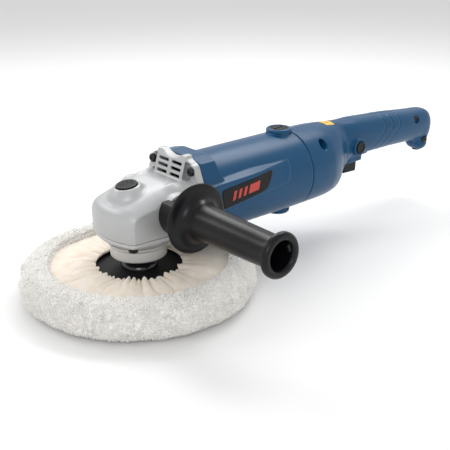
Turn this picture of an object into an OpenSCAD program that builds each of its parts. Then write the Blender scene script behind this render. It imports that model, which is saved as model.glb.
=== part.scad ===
// Rotary polisher of the 180 mm class, with a wool bonnet over a rubber pad.
// The origin is on the spindle axis, in the bonnet's flat working face.
// +Z runs up the spindle, +X along the motor to the rear grip, and the side handle points to -Y.

/* [Layout] */
// Height of the motor axis above the working face
motor_z = 73.4; // [73:0.1:75]
// Where the gear case flange meets the motor housing
flange_x = 45; // [44:0.5:46]
// Seam between the motor housing and the rear handle
seam_x = 175; // [174:0.5:176]
// Thickness of the moulded walls
wall = 3; // [2.5:0.1:3.2]

/* [Motor housing] */
// Outer radius of the barrel
barrel_r = 37.2; // [37:0.1:38]
// Rear end of the square block behind the flange
block_end_x = 62.5; // [62:0.5:64]
// Brush position along the motor
brush_x = 164.4; // [164:0.1:165]

/* [Gears] */
// Teeth of the ring gear on the spindle
ring_teeth = 42; // [42:1:42]
// Teeth of the armature pinion
pinion_teeth = 11; // [11:1:11]
// Module at the outer end of the teeth
gear_module = 1.25; // [1.2:0.01:1.25]
// Length of the teeth along the cone
tooth_length = 8; // [7:0.5:8]

/* [Spindle] */
// Radius of the spindle's bearing seat
spindle_r = 7.5; // [7.5:0.1:7.5]
// Radius of the spindle's thread, an M16
thread_r = 8; // [8:0.1:8]
// Radius of the neck of the bearing box
neck_r = 24.1; // [23.8:0.1:25]
// Lower edge of the neck
neck_z = 35.5; // [35:0.5:37]

/* [Pad and bonnet] */
// Outer radius of the wool bonnet
bonnet_r = 101; // [100:1:103]
// Height of the wool's crest
bonnet_h = 35; // [34:0.5:36]
// Radius of the rubber backing pad
pad_r = 84; // [82:1:85]
// Radius of the gathered opening in the skirt
opening_r = 37; // [36:0.5:38]
// Outer radius of the cotton skirt, where the wool begins
skirt_r = 74; // [72:0.5:75]

/* [Side handle] */
// Where the side handle's axis crosses the gear case, along X
side_x = 18.5; // [18:0.5:19]
// Height of the side handle's axis
side_z = 78; // [77.5:0.5:78]
// Face of the hand guard flange, along -Y
guard_y = 54.5; // [54:0.5:56]
// Radius of the hand guard flange
guard_r = 29.4; // [28:0.1:31]
// Far end of the side handle, along -Y
side_end_y = 154; // [150:0.5:156]
// Radius of the end ring
end_ring_r = 18.2; // [18:0.1:20]

/* [Spindle lock] */
// Travel of the spindle lock button
lock_travel = 4; // [3.5:0.5:4]

/* [Hidden] */
$fn = 64;
hull_fn = 32;
pinion_r = gear_module * pinion_teeth / 2;
ring_r = gear_module * ring_teeth / 2;
cone_length = sqrt(pinion_r * pinion_r + ring_r * ring_r);
pinion_cone = atan(pinion_r / ring_r);
ring_cone = 90 - pinion_cone;
case_bottom = 58;
lock_x = -9.5;
lock_pin_r = 13;                   // the pin stands off the button's centre, over the holes in the gear
lock_holes = 8;
gear_face_z = 66.8;
lock_top_z = 98.9;
lock_button_h = 3.4;
lock_floor_z = lock_top_z - lock_button_h - lock_travel - 0.5;
stud_r = 7;                        // M14
stud_in_y = 20;                    // how close the tapped holes come to the middle plane
trigger_pivot = [254, 64];
lock_on = [260, 80.6];
handle_screw_spots = [[357.5, 91], [377, 64.5]];
deep_screw_spot = [197, 97.5];
flange_screw_spots = [[-26, 106], [26, 106], [-27.5, 45], [27.5, 45]];
box_screw_spots = [[-21, -22.5], [-21, 22.5], [24, -26], [24, 26]];
inlet_x = 380;

// ---------- Shared shapes ----------

module tube_z(z0, z1, ro, ri) {
  translate([0, 0, z0]) difference() {
    cylinder(h = z1 - z0, r = ro);
    translate([0, 0, -1]) cylinder(h = z1 - z0 + 2, r = ri);
  }
}

module rod_x(x0, x1, r) {
  translate([x0, 0, motor_z]) rotate([0, 90, 0]) cylinder(h = x1 - x0, r = r);
}

module tube_x(x0, x1, ro, ri) {
  difference() {
    rod_x(x0, x1, ro);
    rod_x(x0 - 1, x1 + 1, ri);
  }
}

// A rod along Y, from y0 to y1
module rod_y(x, z, y0, y1, r) {
  translate([x, y1, z]) rotate([90, 0, 0]) cylinder(h = y1 - y0, r = r);
}

module box(low, high) {
  translate(low) cube(high - low);
}

// A coil drawn as a stack of round rings joined by a thin core wall
module coil_spring(length, mean_r, wire_r, turns) {
  union() {
    for (i = [0 : turns - 1])
      translate([0, 0, wire_r + i * (length - 2 * wire_r) / (turns - 1)])
        rotate_extrude() translate([mean_r, 0]) circle(r = wire_r, $fn = 16);
    for (a = [0, 180]) rotate([0, 0, a]) translate([mean_r, 0, wire_r])
      cylinder(h = length - 2 * wire_r, r = wire_r * 0.6, $fn = 16);
  }
}

// Balls in their cage, centred on z = 0
module balls(count, pitch_r, ball_r) {
  difference() {
    cylinder(h = ball_r, r = pitch_r + 0.5, center = true);
    cylinder(h = ball_r + 1, r = pitch_r - 0.5, center = true);
  }
  for (i = [0 : count - 1]) rotate([0, 0, i * 360 / count]) translate([pitch_r, 0, 0])
    sphere(r = ball_r, $fn = 24);
}

// A pan head screw pointing down -Z, with its seat at z = 0
module pan_screw(head_r, head_h, shank_r, shank_h) {
  difference() {
    union() {
      cylinder(h = head_h * 0.6, r = head_r);
      translate([0, 0, head_h * 0.6]) cylinder(h = head_h * 0.4, r1 = head_r, r2 = head_r * 0.7);
      translate([0, 0, -shank_h]) cylinder(h = shank_h, r = shank_r);
    }
    for (a = [0, 90]) rotate([0, 0, a])
      translate([-head_r * 0.55, -head_r * 0.12, head_h * 0.4]) cube([head_r * 1.1, head_r * 0.24, head_h]);
  }
}

function power(v, e) = sign(v) * pow(abs(v), e);

// One ring of a skinned shape: a superellipse in the plane x
function ring_points(x, zc, hw, hh, n, sides) = [
  for (i = [0 : sides - 1])
    let (a = (i + 0.5) * 360 / sides)
    [x, hw * power(cos(a), 2 / n), zc + hh * power(sin(a), 2 / n)]
];

// Skin a closed shape over a list of rings that run along +X
module skin(rings) {
  count = len(rings);
  sides = len(rings[0]);
  points = [for (ring = rings) for (p = ring) p];
  walls = [
    for (r = [0 : count - 2]) for (i = [0 : sides - 1])
      let (j = (i + 1) % sides, a = r * sides, b = a + sides)
      [a + j, a + i, b + i, b + j]
  ];
  first = [[for (i = [0 : sides - 1]) i]];
  last = [[for (i = [0 : sides - 1]) (count - 1) * sides + sides - 1 - i]];
  polyhedron(points, concat(first, walls, last), convexity = 6);
}

// ---------- Bevel gears, drawn with the cone's tip at the origin and the gear below it ----------

// A point at distance s from the tip, h above the pitch cone and w to the side
function cone_point(cone, s, h, w) = [
  s * sin(cone) + h * cos(cone),
  w,
  -s * cos(cone) + h * sin(cone)
];

function tooth_end(cone, s) =
  let (k = s / cone_length * gear_module, top = 0.9 * k, foot = 1.35 * k, w = PI * 0.19 * k)
  [
    cone_point(cone, s, -foot, -w * 1.5), cone_point(cone, s, -foot, w * 1.5),
    cone_point(cone, s, top, w * 0.5), cone_point(cone, s, top, -w * 0.5)
  ];

module bevel_tooth(cone) {
  near = tooth_end(cone, cone_length - tooth_length);
  far = tooth_end(cone, cone_length);
  polyhedron(concat(near, far), [
    [0, 1, 2, 3], [7, 6, 5, 4],
    [4, 5, 1, 0], [5, 6, 2, 1], [6, 7, 3, 2], [7, 4, 0, 3]
  ]);
}

module bevel_gear(cone, teeth, body) {
  rotate_extrude() polygon(body);
  for (i = [0 : teeth - 1]) rotate([0, 0, i * 360 / teeth]) bevel_tooth(cone);
}

// Where the root surface is at distance s from the tip, as [radius, height]
function root_point(cone, s) =
  let (p = cone_point(cone, s, -1.15 * gear_module * s / cone_length, 0)) [p[0], p[2]];

// ---------- Gear case ----------

module case_shell() {
  hull() {
    // Upright front corners and the bowed front face
    for (side = [-1, 1]) translate([-19, side * 23.5, case_bottom]) cylinder(h = 14, r = 6.5, $fn = hull_fn);
    translate([-8, 0, case_bottom]) cylinder(h = 14, r = 25, $fn = hull_fn);
    for (side = [-1, 1]) translate([-18, side * 21.5, 72]) sphere(r = 8, $fn = hull_fn);
    for (side = [-1, 1]) translate([-18, side * 9, 75]) sphere(r = 11, $fn = hull_fn);
    translate([-8, 0, 75]) sphere(r = 15, $fn = hull_fn);
    // The crowned top, rising to the rear
    for (side = [-1, 1]) translate([14, side * 11, 79.5]) rotate([0, 90, 0])
      cylinder(h = 24.5, r = 16, $fn = hull_fn);
    for (side = [-1, 1]) translate([36, side * 31, case_bottom]) cylinder(h = 31, r = 2.5, $fn = hull_fn);
    for (side = [-1, 1]) translate([5, side * 29, case_bottom]) cylinder(h = 27, r = 4, $fn = hull_fn);
  }
}

// Eight-sided outline of the flange and of the block behind it, in Y and Z
function flange_outline(grow, top) = [
  [-34 - grow, 50], [-27, 39 - grow], [27, 39 - grow], [34 + grow, 50],
  [34 + grow, 97], [28, 110.5 + grow], [14, top], [-14, top], [-28, 110.5 + grow], [-34 - grow, 97]
];

// A plate across the motor axis, from an outline in Y and Z
module plate_x(x0, x1, outline) {
  translate([x0, 0, 0]) rotate([90, 0, 90]) linear_extrude(x1 - x0) polygon(outline);
}

module vent_hood() {
  // A leaning louvred panel over the air outlet
  difference() {
    rotate([90, 0, 0]) translate([0, 0, -19]) linear_extrude(38)
      polygon([[32.5, 90], [33, 95.3], [42.5, 116], [flange_x, 116], [flange_x, 90]]);
    translate([0, -16.5, 0]) rotate([90, 0, 0]) translate([0, 0, -33]) linear_extrude(33)
      polygon([[38, 92], [39, 96.5], [44.5, 112], [flange_x + 1, 112], [flange_x + 1, 92]]);
    for (row = [0 : 2]) for (side = [-1, 1])
      translate([31 + row * 1.9, side * 9 - 6, 98.2 + row * 5]) cube([12, 12, 2.2]);
  }
}

module gear_case() {
  color([0.78, 0.79, 0.8]) difference() {
    union() {
      case_shell();
      plate_x(38, flange_x, flange_outline(0, 116));
      // Rear throat between the gear chamber and the flange
      hull() {
        plate_x(32.5, 38.5, [[-30, 58.5], [-30, 57], [30, 57], [30, 58.5]]);
        plate_x(38, 39, [[-31, 58], [-25, 41], [25, 41], [31, 58]]);
      }
      vent_hood();
      // Boss of the spindle lock
      translate([lock_x, 0, 82]) cylinder(h = 10, r = 15.5);
      translate([lock_x, 0, 92]) cylinder(h = 6.2, r1 = 15.5, r2 = 11);
      // Side handle bosses
      for (side = [-1, 1]) rod_y(side_x, side_z, side > 0 ? 26 : -35.5, side > 0 ? 35.5 : -26, 15);
    }
    // Gear chamber
    translate([0, 0, case_bottom - 1]) cylinder(h = 14.5, r = 27.6);
    translate([0, 0, case_bottom + 13]) cylinder(h = 3.5, r = 22);
    // Room for the pinion and its nut
    rod_x(9, 29, 9.5);
    // Front armature bearing seat and the way to the fan
    rod_x(29, 41, 16);
    rod_x(40.5, flange_x + 1, 31);
    difference() {
      plate_x(41.5, flange_x + 1, flange_outline(-4, 112));
      plate_x(41, flange_x + 2, [[-40, 30], [40, 30], [40, 88], [-40, 88]]);
    }
    // The dip in the top edge
    translate([30, 0, 137]) rotate([0, 90, 0]) cylinder(h = 20, r = 26);
    // Needle bearing seat at the top of the spindle
    translate([0, 0, 72]) cylinder(h = 12.5, r = 6);
    // Spindle lock: button pocket and pin hole
    translate([lock_x, 0, lock_floor_z]) cylinder(h = 10, r = 9.3);
    translate([-lock_pin_r, 0, 60]) cylinder(h = 40, r = 2.55);
    // Tapped holes for the side handle
    rod_y(side_x, side_z, stud_in_y, 40, stud_r);
    rod_y(side_x, side_z, -40, -stud_in_y, stud_r);
    // Flange screws and bearing box screws
    for (spot = flange_screw_spots) translate([28, spot[0], spot[1]]) rotate([0, 90, 0]) {
      cylinder(h = 22, r = 2.2);
      cylinder(h = 10, r = 5.2);
    }
    for (spot = box_screw_spots) translate([spot[0], spot[1], 50]) cylinder(h = 18, r = 2);
  }
}

module bearing_box() {
  color([0.74, 0.75, 0.76]) difference() {
    union() {
      hull() {
        for (side = [-1, 1]) translate([-19, side * 22.8, 53]) cylinder(h = 5, r = 6.5, $fn = hull_fn);
        translate([-7.5, 0, 53]) cylinder(h = 5, r = 25, $fn = hull_fn);
        for (side = [-1, 1]) translate([27, side * 28, 53]) cylinder(h = 5, r = 4, $fn = hull_fn);
        translate([0, 0, 48]) cylinder(h = 5, r = 26, $fn = hull_fn);
      }
      translate([0, 0, neck_z]) cylinder(h = 14, r = neck_r);
      translate([0, 0, neck_z]) cylinder(h = 16, r = 20);
    }
    // Ball bearing seat, retainer recess and way out for the spindle
    translate([0, 0, 39]) cylinder(h = 11, r = 17.5);
    translate([0, 0, 50]) cylinder(h = 10, r = 20.2);
    translate([0, 0, neck_z - 1]) cylinder(h = 6, r = 12.5);
    for (spot = box_screw_spots) {
      translate([spot[0], spot[1], 40]) cylinder(h = 20, r = 2.3);
      translate([spot[0], spot[1], 40]) cylinder(h = 11.5, r = 4.4);
    }
  }
}

module bearing_box_screws() {
  color([0.25, 0.25, 0.27]) for (spot = box_screw_spots)
    translate([spot[0], spot[1], 51.5]) mirror([0, 0, 1]) pan_screw(4, 3, 1.9, 12);
}

module gear_case_screws() {
  color([0.12, 0.12, 0.13]) for (spot = flange_screw_spots)
    translate([38, spot[0], spot[1]]) rotate([0, -90, 0]) pan_screw(4.4, 3.6, 2.1, 16);
}

module spindle_bearing_outer() {
  color([0.7, 0.7, 0.72]) tube_z(39, 50, 17.5, 14.4);
}

module bearing_retainer() {
  color([0.6, 0.6, 0.62]) tube_z(50, 53, 20, 15);
}

module dust_seal() {
  color([0.2, 0.2, 0.2]) tube_z(36.5, 38.9, 12.4, 9.7);
}

module needle_bearing() {
  color([0.65, 0.65, 0.68]) tube_z(76, 84, 6, 4.05);
}

// ---------- Spindle and what turns with it ----------

module spindle() {
  color([0.62, 0.62, 0.64]) difference() {
    union() {
      translate([0, 0, 18]) cylinder(h = 15, r = thread_r);
      translate([0, 0, 33]) cylinder(h = 6, r = 9.5);
      translate([0, 0, 39]) cylinder(h = 27.5, r = spindle_r);
      translate([0, 0, 66.5]) cylinder(h = 17, r = 4);
    }
    // Key slot for the gear
    translate([5.5, -1.5, 56]) cube([4, 3, 8]);
    // Groove of the snap ring
    tube_z(65.2, 66.2, 10, 6.9);
  }
}

module ring_gear() {
  inner = root_point(ring_cone, cone_length - tooth_length);
  outer = root_point(ring_cone, cone_length);
  floor_z = 55.5 - motor_z;
  color([0.45, 0.45, 0.48]) translate([0, 0, motor_z]) difference() {
    bevel_gear(ring_cone, ring_teeth, [
      [spindle_r, floor_z], [13, floor_z], [14, floor_z + 3.2], [outer[0] - 1, floor_z + 5],
      [outer[0], floor_z + 6], outer, inner, [inner[0] - 0.6, gear_face_z - motor_z],
      [10, gear_face_z - motor_z], [9.6, 64.9 - motor_z], [spindle_r, 64.9 - motor_z]
    ]);
    // Key slot and the holes of the spindle lock
    translate([5, -1.5, floor_z - 1]) cube([4.2, 3, 12]);
    for (a = [0 : 360 / lock_holes : 359]) rotate([0, 0, a]) translate([lock_pin_r, 0, -12])
      cylinder(h = 20, r = 2.8);
  }
}

module spindle_bearing_inner() {
  color([0.72, 0.72, 0.74]) tube_z(39, 50, 10.6, spindle_r);
}

module spindle_bearing_balls() {
  color([0.8, 0.8, 0.82]) translate([0, 0, 44.5]) balls(10, 12.5, 1.75);
}

module gear_key() {
  color([0.5, 0.5, 0.52]) translate([5.55, -1.45, 56.1]) cube([3.5, 2.9, 7.5]);
}

module spindle_snap_ring() {
  color([0.3, 0.3, 0.32]) difference() {
    tube_z(65.25, 66.15, 8.9, 6.95);
    translate([-12, -1.5, 60]) cube([8, 3, 10]);
  }
}

module pad_hub() {
  color([0.1, 0.1, 0.1]) difference() {
    union() {
      translate([0, 0, 12]) cylinder(h = 3, r = 30);
      translate([0, 0, 15]) cylinder(h = 13.5, r = 13.5);
      translate([0, 0, 28.5]) cylinder(h = 2, r1 = 13.5, r2 = 11.5);
    }
    translate([0, 0, 16]) cylinder(h = 20, r = thread_r + 0.05);
  }
}

module rubber_pad() {
  color([0.09, 0.09, 0.09]) rotate_extrude() polygon([
    [13.6, 15.05], [30.2, 15.05], [30.2, 12], [pad_r - 3, 13.5], [pad_r, 16], [pad_r, 18], [pad_r - 8, 20.5],
    [50, 22], [20, 23.5], [13.6, 23.8]
  ]);
}

module wool_bonnet() {
  color([0.93, 0.92, 0.88]) rotate_extrude() polygon(concat(
    [[0, 0], [bonnet_r - 12, 0]],
    [for (a = [-72 : 12 : 0]) [bonnet_r - 12 + 12 * cos(a), 12 + 12 * sin(a)]],
    [for (a = [12 : 12 : 108]) [bonnet_r - 16 + 16 * cos(a), 12 + (bonnet_h - 12) * sin(a)]],
    [[skirt_r, 29], [skirt_r - 1, 26.9], [skirt_r - 1, 24], [pad_r - 4, 22.6], [pad_r + 1, 19.5],
     [pad_r + 1, 15], [pad_r - 3, 12.6], [30.5, 11], [0, 11]]
  ));
}

module bonnet_skirt() {
  color([0.93, 0.86, 0.75]) rotate_extrude() polygon([
    [opening_r + 2.2, 25.2], [60, 24.2], [skirt_r - 1.1, 24.6],
    [skirt_r - 1.1, 26.6], [58, 26.9], [opening_r + 2.2, 26.6]
  ]);
}

module drawstring() {
  color([0.85, 0.8, 0.7]) translate([0, 0, 25.8]) rotate_extrude()
    translate([opening_r + 1, 0]) circle(r = 1.1, $fn = 16);
}

// ---------- Spindle lock ----------

module lock_button() {
  color([0.08, 0.08, 0.08]) translate([lock_x, 0, 0]) difference() {
    union() {
      translate([0, 0, lock_top_z - lock_button_h]) cylinder(h = lock_button_h - 0.8, r = 9);
      translate([0, 0, lock_top_z - 0.8]) cylinder(h = 0.8, r1 = 9, r2 = 8.2);
    }
    // Seats of the spring and of the pin
    translate([-lock_pin_r - lock_x, 0, lock_top_z - 4]) cylinder(h = 1.8, r = 4.1);
    translate([-lock_pin_r - lock_x, 0, lock_top_z - 4]) cylinder(h = 2.9, r = 2.52);
  }
}

module lock_pin() {
  color([0.7, 0.7, 0.72]) translate([-lock_pin_r, 0, 68.4]) cylinder(h = lock_top_z - 1.2 - 68.4, r = 2.5);
}

module lock_spring() {
  color([0.6, 0.6, 0.62]) translate([-lock_pin_r, 0, lock_floor_z + 0.05]) coil_spring(5.5, 3.4, 0.4, 5);
}

// ---------- Side handle ----------

module on_side_axis() {
  // Local +Z runs out along -Y, from the middle of the machine
  translate([side_x, 0, side_z]) rotate([90, 0, 0]) children();
}

module side_handle_collar() {
  color([0.07, 0.07, 0.08]) on_side_axis() tube_z(35.6, guard_y - 0.1, 24.5, stud_r + 0.3);
}

module side_handle_grip() {
  color([0.06, 0.06, 0.07]) on_side_axis() difference() {
    rotate_extrude() polygon(concat(
      [[0, guard_y], [guard_r, guard_y], [guard_r, guard_y + 1.6], [25, guard_y + 2.6]],
      [for (a = [0 : 15 : 90]) [25 - 9.5 * sin(a), guard_y + 12.6 - 10 * cos(a)]],
      [[14.6, guard_y + 20], [13.2, side_end_y - 14]],
      [for (a = [0 : 15 : 75]) [18.2 - 5 * cos(a), side_end_y - 11 + 5 * sin(a)]],
      [[end_ring_r, side_end_y - 5], [end_ring_r, side_end_y - 1.5],
       [end_ring_r - 1.5, side_end_y], [0, side_end_y]]
    ));
    // Hollow outer end and the blind seat of the stud
    translate([0, 0, side_end_y - 34]) cylinder(h = 40, r = 11.6);
    translate([0, 0, guard_y - 1]) cylinder(h = 31, r = stud_r);
  }
}

module side_handle_stud() {
  color([0.65, 0.65, 0.67]) on_side_axis()
    translate([0, 0, stud_in_y + 0.5]) cylinder(h = guard_y + 29 - stud_in_y, r = stud_r - 0.05);
}

// ---------- Motor housing ----------

module brush_boss(turn) {
  translate([brush_x, 0, motor_z]) rotate([turn, 0, 0]) {
    translate([0, 0, 28]) cylinder(h = 11.5, r = 12);
    translate([0, 0, 39.5]) cylinder(h = 2, r1 = 12, r2 = 10.6);
  }
}

module side_panel() {
  // A flat raised panel that runs out into the barrel
  translate([0, -38.3, 0]) rotate([90, 0, 0]) mirror([0, 0, 1]) linear_extrude(12)
    polygon([[block_end_x - 14, 66.5], [block_end_x - 14, 92], [142, 98.5], [138, 86], [128, 75]]);
}

module motor_housing() {
  color([0.16, 0.29, 0.42]) difference() {
    union() {
      rod_x(flange_x, seam_x, barrel_r);
      plate_x(flange_x, block_end_x, flange_outline(0.4, 114.6));
      side_panel();
      mirror([0, 1, 0]) side_panel();
      for (turn = [0, 180]) brush_boss(turn);
      // Rear bearing cup
      rod_x(seam_x - 6, 187, 16.5);
    }
    difference() {
      rod_x(flange_x - 1, seam_x - 4, barrel_r - wall);
      // Two ribs and pads that hold the field core
      for (x = [88, 126]) difference() {
        rod_x(x, x + 4, barrel_r);
        rod_x(x - 1, x + 5, 32.1);
      }
    }
    // Rear wall: bearing cup and air holes
    rod_x(seam_x - 5, 186, 13.6);
    rod_x(seam_x - 10, 190, 6);
    for (a = [0 : 60 : 300]) translate([seam_x - 10, 0, motor_z]) rotate([a + 30, 0, 0])
      translate([0, 0, 25]) rotate([0, 90, 0]) cylinder(h = 20, r = 6);
    // Brush tubes
    for (turn = [0, 180]) translate([brush_x, 0, motor_z]) rotate([turn, 0, 0]) {
      translate([0, 0, 10]) cylinder(h = 30, r = 6.6);
      translate([0, 0, 37.5]) cylinder(h = 10, r = 8.6);
    }
    for (spot = flange_screw_spots) translate([40, spot[0], spot[1]]) rotate([0, 90, 0])
      cylinder(h = 16, r = 2.15);
  }
}

module nameplates() {
  color([0.05, 0.05, 0.05]) for (side = [-1, 1])
    translate([0, side > 0 ? 39.1 : -38.35, 0]) rotate([90, 0, 0]) linear_extrude(0.7)
      polygon([[63, 70.5], [60.5, 88.2], [118, 93.5], [120, 92], [112, 77.5], [108, 75.5]]);
}

module fan_baffle() {
  color([0.15, 0.15, 0.15]) union() {
    tube_x(66, 68, 34, 22);
    tube_x(66, 74, 34, 32.6);
  }
}

module stator_core() {
  color([0.5, 0.5, 0.5]) difference() {
    rod_x(82, 132, 32);
    rod_x(81, 133, 19.6);
    for (side = [-1, 1]) translate([81, side * 22 - 5, motor_z - 16]) cube([52, 10, 32]);
  }
}

module field_coils() {
  color([0.72, 0.4, 0.2]) for (side = [-1, 1]) {
    for (level = [-1, 1]) translate([74, side * 22 - 4, motor_z + level * 11 - 4.5]) cube([66, 8, 9]);
    for (x = [74, 133]) translate([x, side * 22 - 4, motor_z - 11]) cube([7, 8, 22]);
  }
}

module brush_holders() {
  color([0.75, 0.6, 0.25]) for (turn = [0, 180])
    translate([brush_x, 0, motor_z]) rotate([turn, 0, 0]) difference() {
      translate([0, 0, 13.2]) cylinder(h = 24, r = 6.5);
      translate([-4.6, -3.1, 12]) cube([9.2, 6.2, 30]);
    }
}

module carbon_brushes() {
  color([0.12, 0.12, 0.12]) for (turn = [0, 180]) translate([brush_x, 0, motor_z]) rotate([turn, 0, 0])
    translate([-4.5, -3, 11.8]) cube([9, 6, 13]);
}

module brush_springs() {
  color([0.65, 0.65, 0.65]) for (turn = [0, 180]) translate([brush_x, 0, motor_z]) rotate([turn, 0, 0])
    translate([0, 0, 24.9]) coil_spring(12, 2.4, 0.4, 7);
}

module brush_caps() {
  color([0.06, 0.06, 0.06]) for (turn = [0, 180])
    translate([brush_x, 0, motor_z]) rotate([turn, 0, 0]) difference() {
      union() {
        translate([0, 0, 37.6]) cylinder(h = 3, r = 8.5);
        translate([0, 0, 40.6]) cylinder(h = 0.8, r1 = 8.5, r2 = 7.8);
      }
      translate([-6, -0.9, 40]) cube([12, 1.8, 3]);
    }
}

// ---------- Armature ----------

module armature_shaft() {
  color([0.66, 0.66, 0.68]) union() {
    rod_x(14, 29, 3);
    rod_x(29, 46, 6);
    rod_x(46, 150, 6.5);
    rod_x(150, 175.4, 5);
    rod_x(175.4, 184, 4);
  }
}

module pinion() {
  inner = root_point(pinion_cone, cone_length - tooth_length);
  outer = root_point(pinion_cone, cone_length);
  color([0.5, 0.5, 0.52]) translate([0, 0, motor_z]) rotate([0, -90, 0]) difference() {
    bevel_gear(pinion_cone, pinion_teeth, [
      [0, -29], [5.4, -29], outer, inner, [0, inner[1]]
    ]);
    translate([0, 0, -40]) cylinder(h = 40, r = 3.02);
  }
}

module pinion_nut() {
  color([0.55, 0.55, 0.57]) difference() {
    translate([15, 0, motor_z]) rotate([0, 90, 0]) cylinder(h = 3.2, r = 4.4, $fn = 6);
    rod_x(14, 20, 3.02);
  }
}

module armature_core() {
  color([0.42, 0.42, 0.44]) difference() {
    rod_x(84, 130, 18.8);
    rod_x(83, 131, 6.52);
    for (a = [0 : 30 : 330]) translate([83, 0, motor_z]) rotate([a, 0, 0]) translate([0, 0, 14.2])
      rotate([0, 90, 0]) cylinder(h = 48, r = 2.6);
  }
}

module armature_windings() {
  color([0.75, 0.36, 0.16]) union() {
    for (a = [0 : 30 : 330]) translate([80, 0, motor_z]) rotate([a, 0, 0]) translate([0, 0, 14.2])
      rotate([0, 90, 0]) cylinder(h = 54, r = 2.5);
    tube_x(75, 83.9, 16.8, 6.6);
    tube_x(130.1, 140, 16.8, 6.6);
  }
}

module commutator() {
  color([0.8, 0.5, 0.25]) difference() {
    rod_x(153, 171.5, 11.5);
    rod_x(152, 172, 5.03);
    for (a = [0 : 15 : 345]) translate([152, 0, motor_z]) rotate([a + 7.5, 0, 0])
      translate([0, -0.3, 10.4]) cube([21, 0.6, 3]);
  }
}

module fan() {
  color([0.1, 0.1, 0.1]) difference() {
    union() {
      rod_x(48, 64, 10);
      rod_x(62, 64, 31);
      for (a = [0 : 30 : 330]) translate([50, 0, motor_z]) rotate([a, 0, 0])
        translate([0, -1, 9]) cube([13, 2, 21]);
    }
    rod_x(46, 66, 6.53);
  }
}

module armature_bearing_inners() {
  color([0.74, 0.74, 0.76]) {
    tube_x(31, 41, 8.6, 6.02);
    translate([36, 0, motor_z]) rotate([0, 90, 0]) balls(9, 10.6, 1.8);
    tube_x(176, 183, 5.8, 4.02);
    translate([179.5, 0, motor_z]) rotate([0, 90, 0]) balls(7, 7.3, 1.3);
  }
}

module armature_bearing_outers() {
  color([0.68, 0.68, 0.7]) {
    tube_x(31, 41, 15.95, 12.6);
    tube_x(176, 183, 11, 8.8);
  }
}

module bearing_sleeve() {
  color([0.08, 0.08, 0.08]) tube_x(175, 184, 13.5, 11.05);
}

// ---------- Rear handle ----------

// Stations of the handle: [x, centre height, half width, half height, squareness]
stations = [
  [175, 73.4, 37, 37, 2], [192, 73.4, 36.8, 36.9, 2], [206, 73.5, 35.6, 36.5, 2.05],
  [218, 73.4, 32.6, 35.9, 2.1], [228, 73.6, 28, 35.2, 2.2], [236, 73.9, 23.6, 34.4, 2.25],
  [243, 74.8, 19.6, 33.4, 2.3], [249, 76.4, 17.8, 31.6, 2.35], [254, 79.2, 17.2, 28.6, 2.4],
  [259, 83.6, 17, 23.6, 2.45], [264, 87, 17, 19.8, 2.5], [290, 86, 17.2, 19, 2.5],
  [316, 85, 17, 18.4, 2.5], [342, 83.2, 16.6, 17.6, 2.5], [356, 82.2, 16, 17.2, 2.5],
  [364, 81.4, 15.6, 17, 2.5], [372, 80.4, 15, 16.8, 2.5], [380, 79.2, 13.6, 15.8, 2.4],
  [386, 78.4, 11.4, 13.4, 2.2], [390, 78, 7.6, 9, 2.1], [391.8, 77.6, 3.6, 4.6, 2]
];

function handle_rings(inset, sides) = [
  for (s = stations) let (end = s[0] > 389)
    if (!(inset > 0 && end))
      ring_points(s[0], s[1], s[2] - inset, s[3] - inset, s[4], sides)
];

module handle_solid() {
  skin(handle_rings(0, 36));
  // Raised housing round the trigger
  hull() {
    box([250, -11, 68], [281, 11, 74]);
    box([250, -10, 61.5], [274.5, 10, 68]);
  }
  // Ring round the lock-on button
  rod_y(lock_on[0], lock_on[1], -20.6, -8, 8.8);
  // Hook at the tail
  hull() {
    for (side = [-1, 1]) translate([376, side * 5, 58.5]) sphere(r = 7, $fn = hull_fn);
    for (side = [-1, 1]) translate([383, side * 4, 59.5]) sphere(r = 7, $fn = hull_fn);
    for (side = [-1, 1]) translate([373, side * 6, 72]) sphere(r = 7.5, $fn = hull_fn);
    for (side = [-1, 1]) translate([381, side * 5, 76]) sphere(r = 7.5, $fn = hull_fn);
  }
}

module handle_hollow() {
  skin(handle_rings(wall, 24));
}

module handle_shell() {
  difference() {
    handle_solid();
    difference() {
      handle_hollow();
      // Screw posts and the wall behind the trigger
      for (spot = handle_screw_spots) rod_y(spot[0], spot[1], -20, 20, 5);
      rod_y(deep_screw_spot[0], deep_screw_spot[1], -40, 40, 5.5);
    }
    // Trigger slot
    box([249, -7.3, 50], [272.9, 7.3, 78]);
    // Bore of the lock-on button
    rod_y(lock_on[0], lock_on[1], -30, -9, 6.2);
    // Screw holes
    for (spot = handle_screw_spots) {
      rod_y(spot[0], spot[1], -30, 12, 1.9);
      rod_y(spot[0], spot[1], -30, -11.5, 4.3);
    }
    rod_y(deep_screw_spot[0], deep_screw_spot[1], -40, 14, 1.9);
    rod_y(deep_screw_spot[0], deep_screw_spot[1], -40, -16, 4.3);
    // Trigger pin
    rod_y(trigger_pivot[0], trigger_pivot[1], -9.6, 9.6, 1.55);
    // Cooling slots under the rear of the bulb
    for (side = [-1, 1]) for (i = [0 : 3])
      translate([222 + i * 6.5, side * 11, 34 + i * i * 0.9]) rotate([0, -20 - i * 8, 0])
        cube([2.6, 12, 12], center = true);
    // Room for the rear edge of the brush bosses
    translate([brush_x, 0, motor_z - 42]) cylinder(h = 84, r = 12.3);
    // Mouth of the cord inlet
    translate([inlet_x, 0, 40]) cylinder(h = 20, r = 4.5);
  }
}

module handle_left() {
  color([0.15, 0.28, 0.4]) intersection() {
    handle_shell();
    box([170, -60, 20], [410, 0, 130]);
  }
}

module handle_right() {
  color([0.15, 0.28, 0.4]) intersection() {
    handle_shell();
    box([170, 0, 20], [410, 60, 130]);
  }
}

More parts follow.
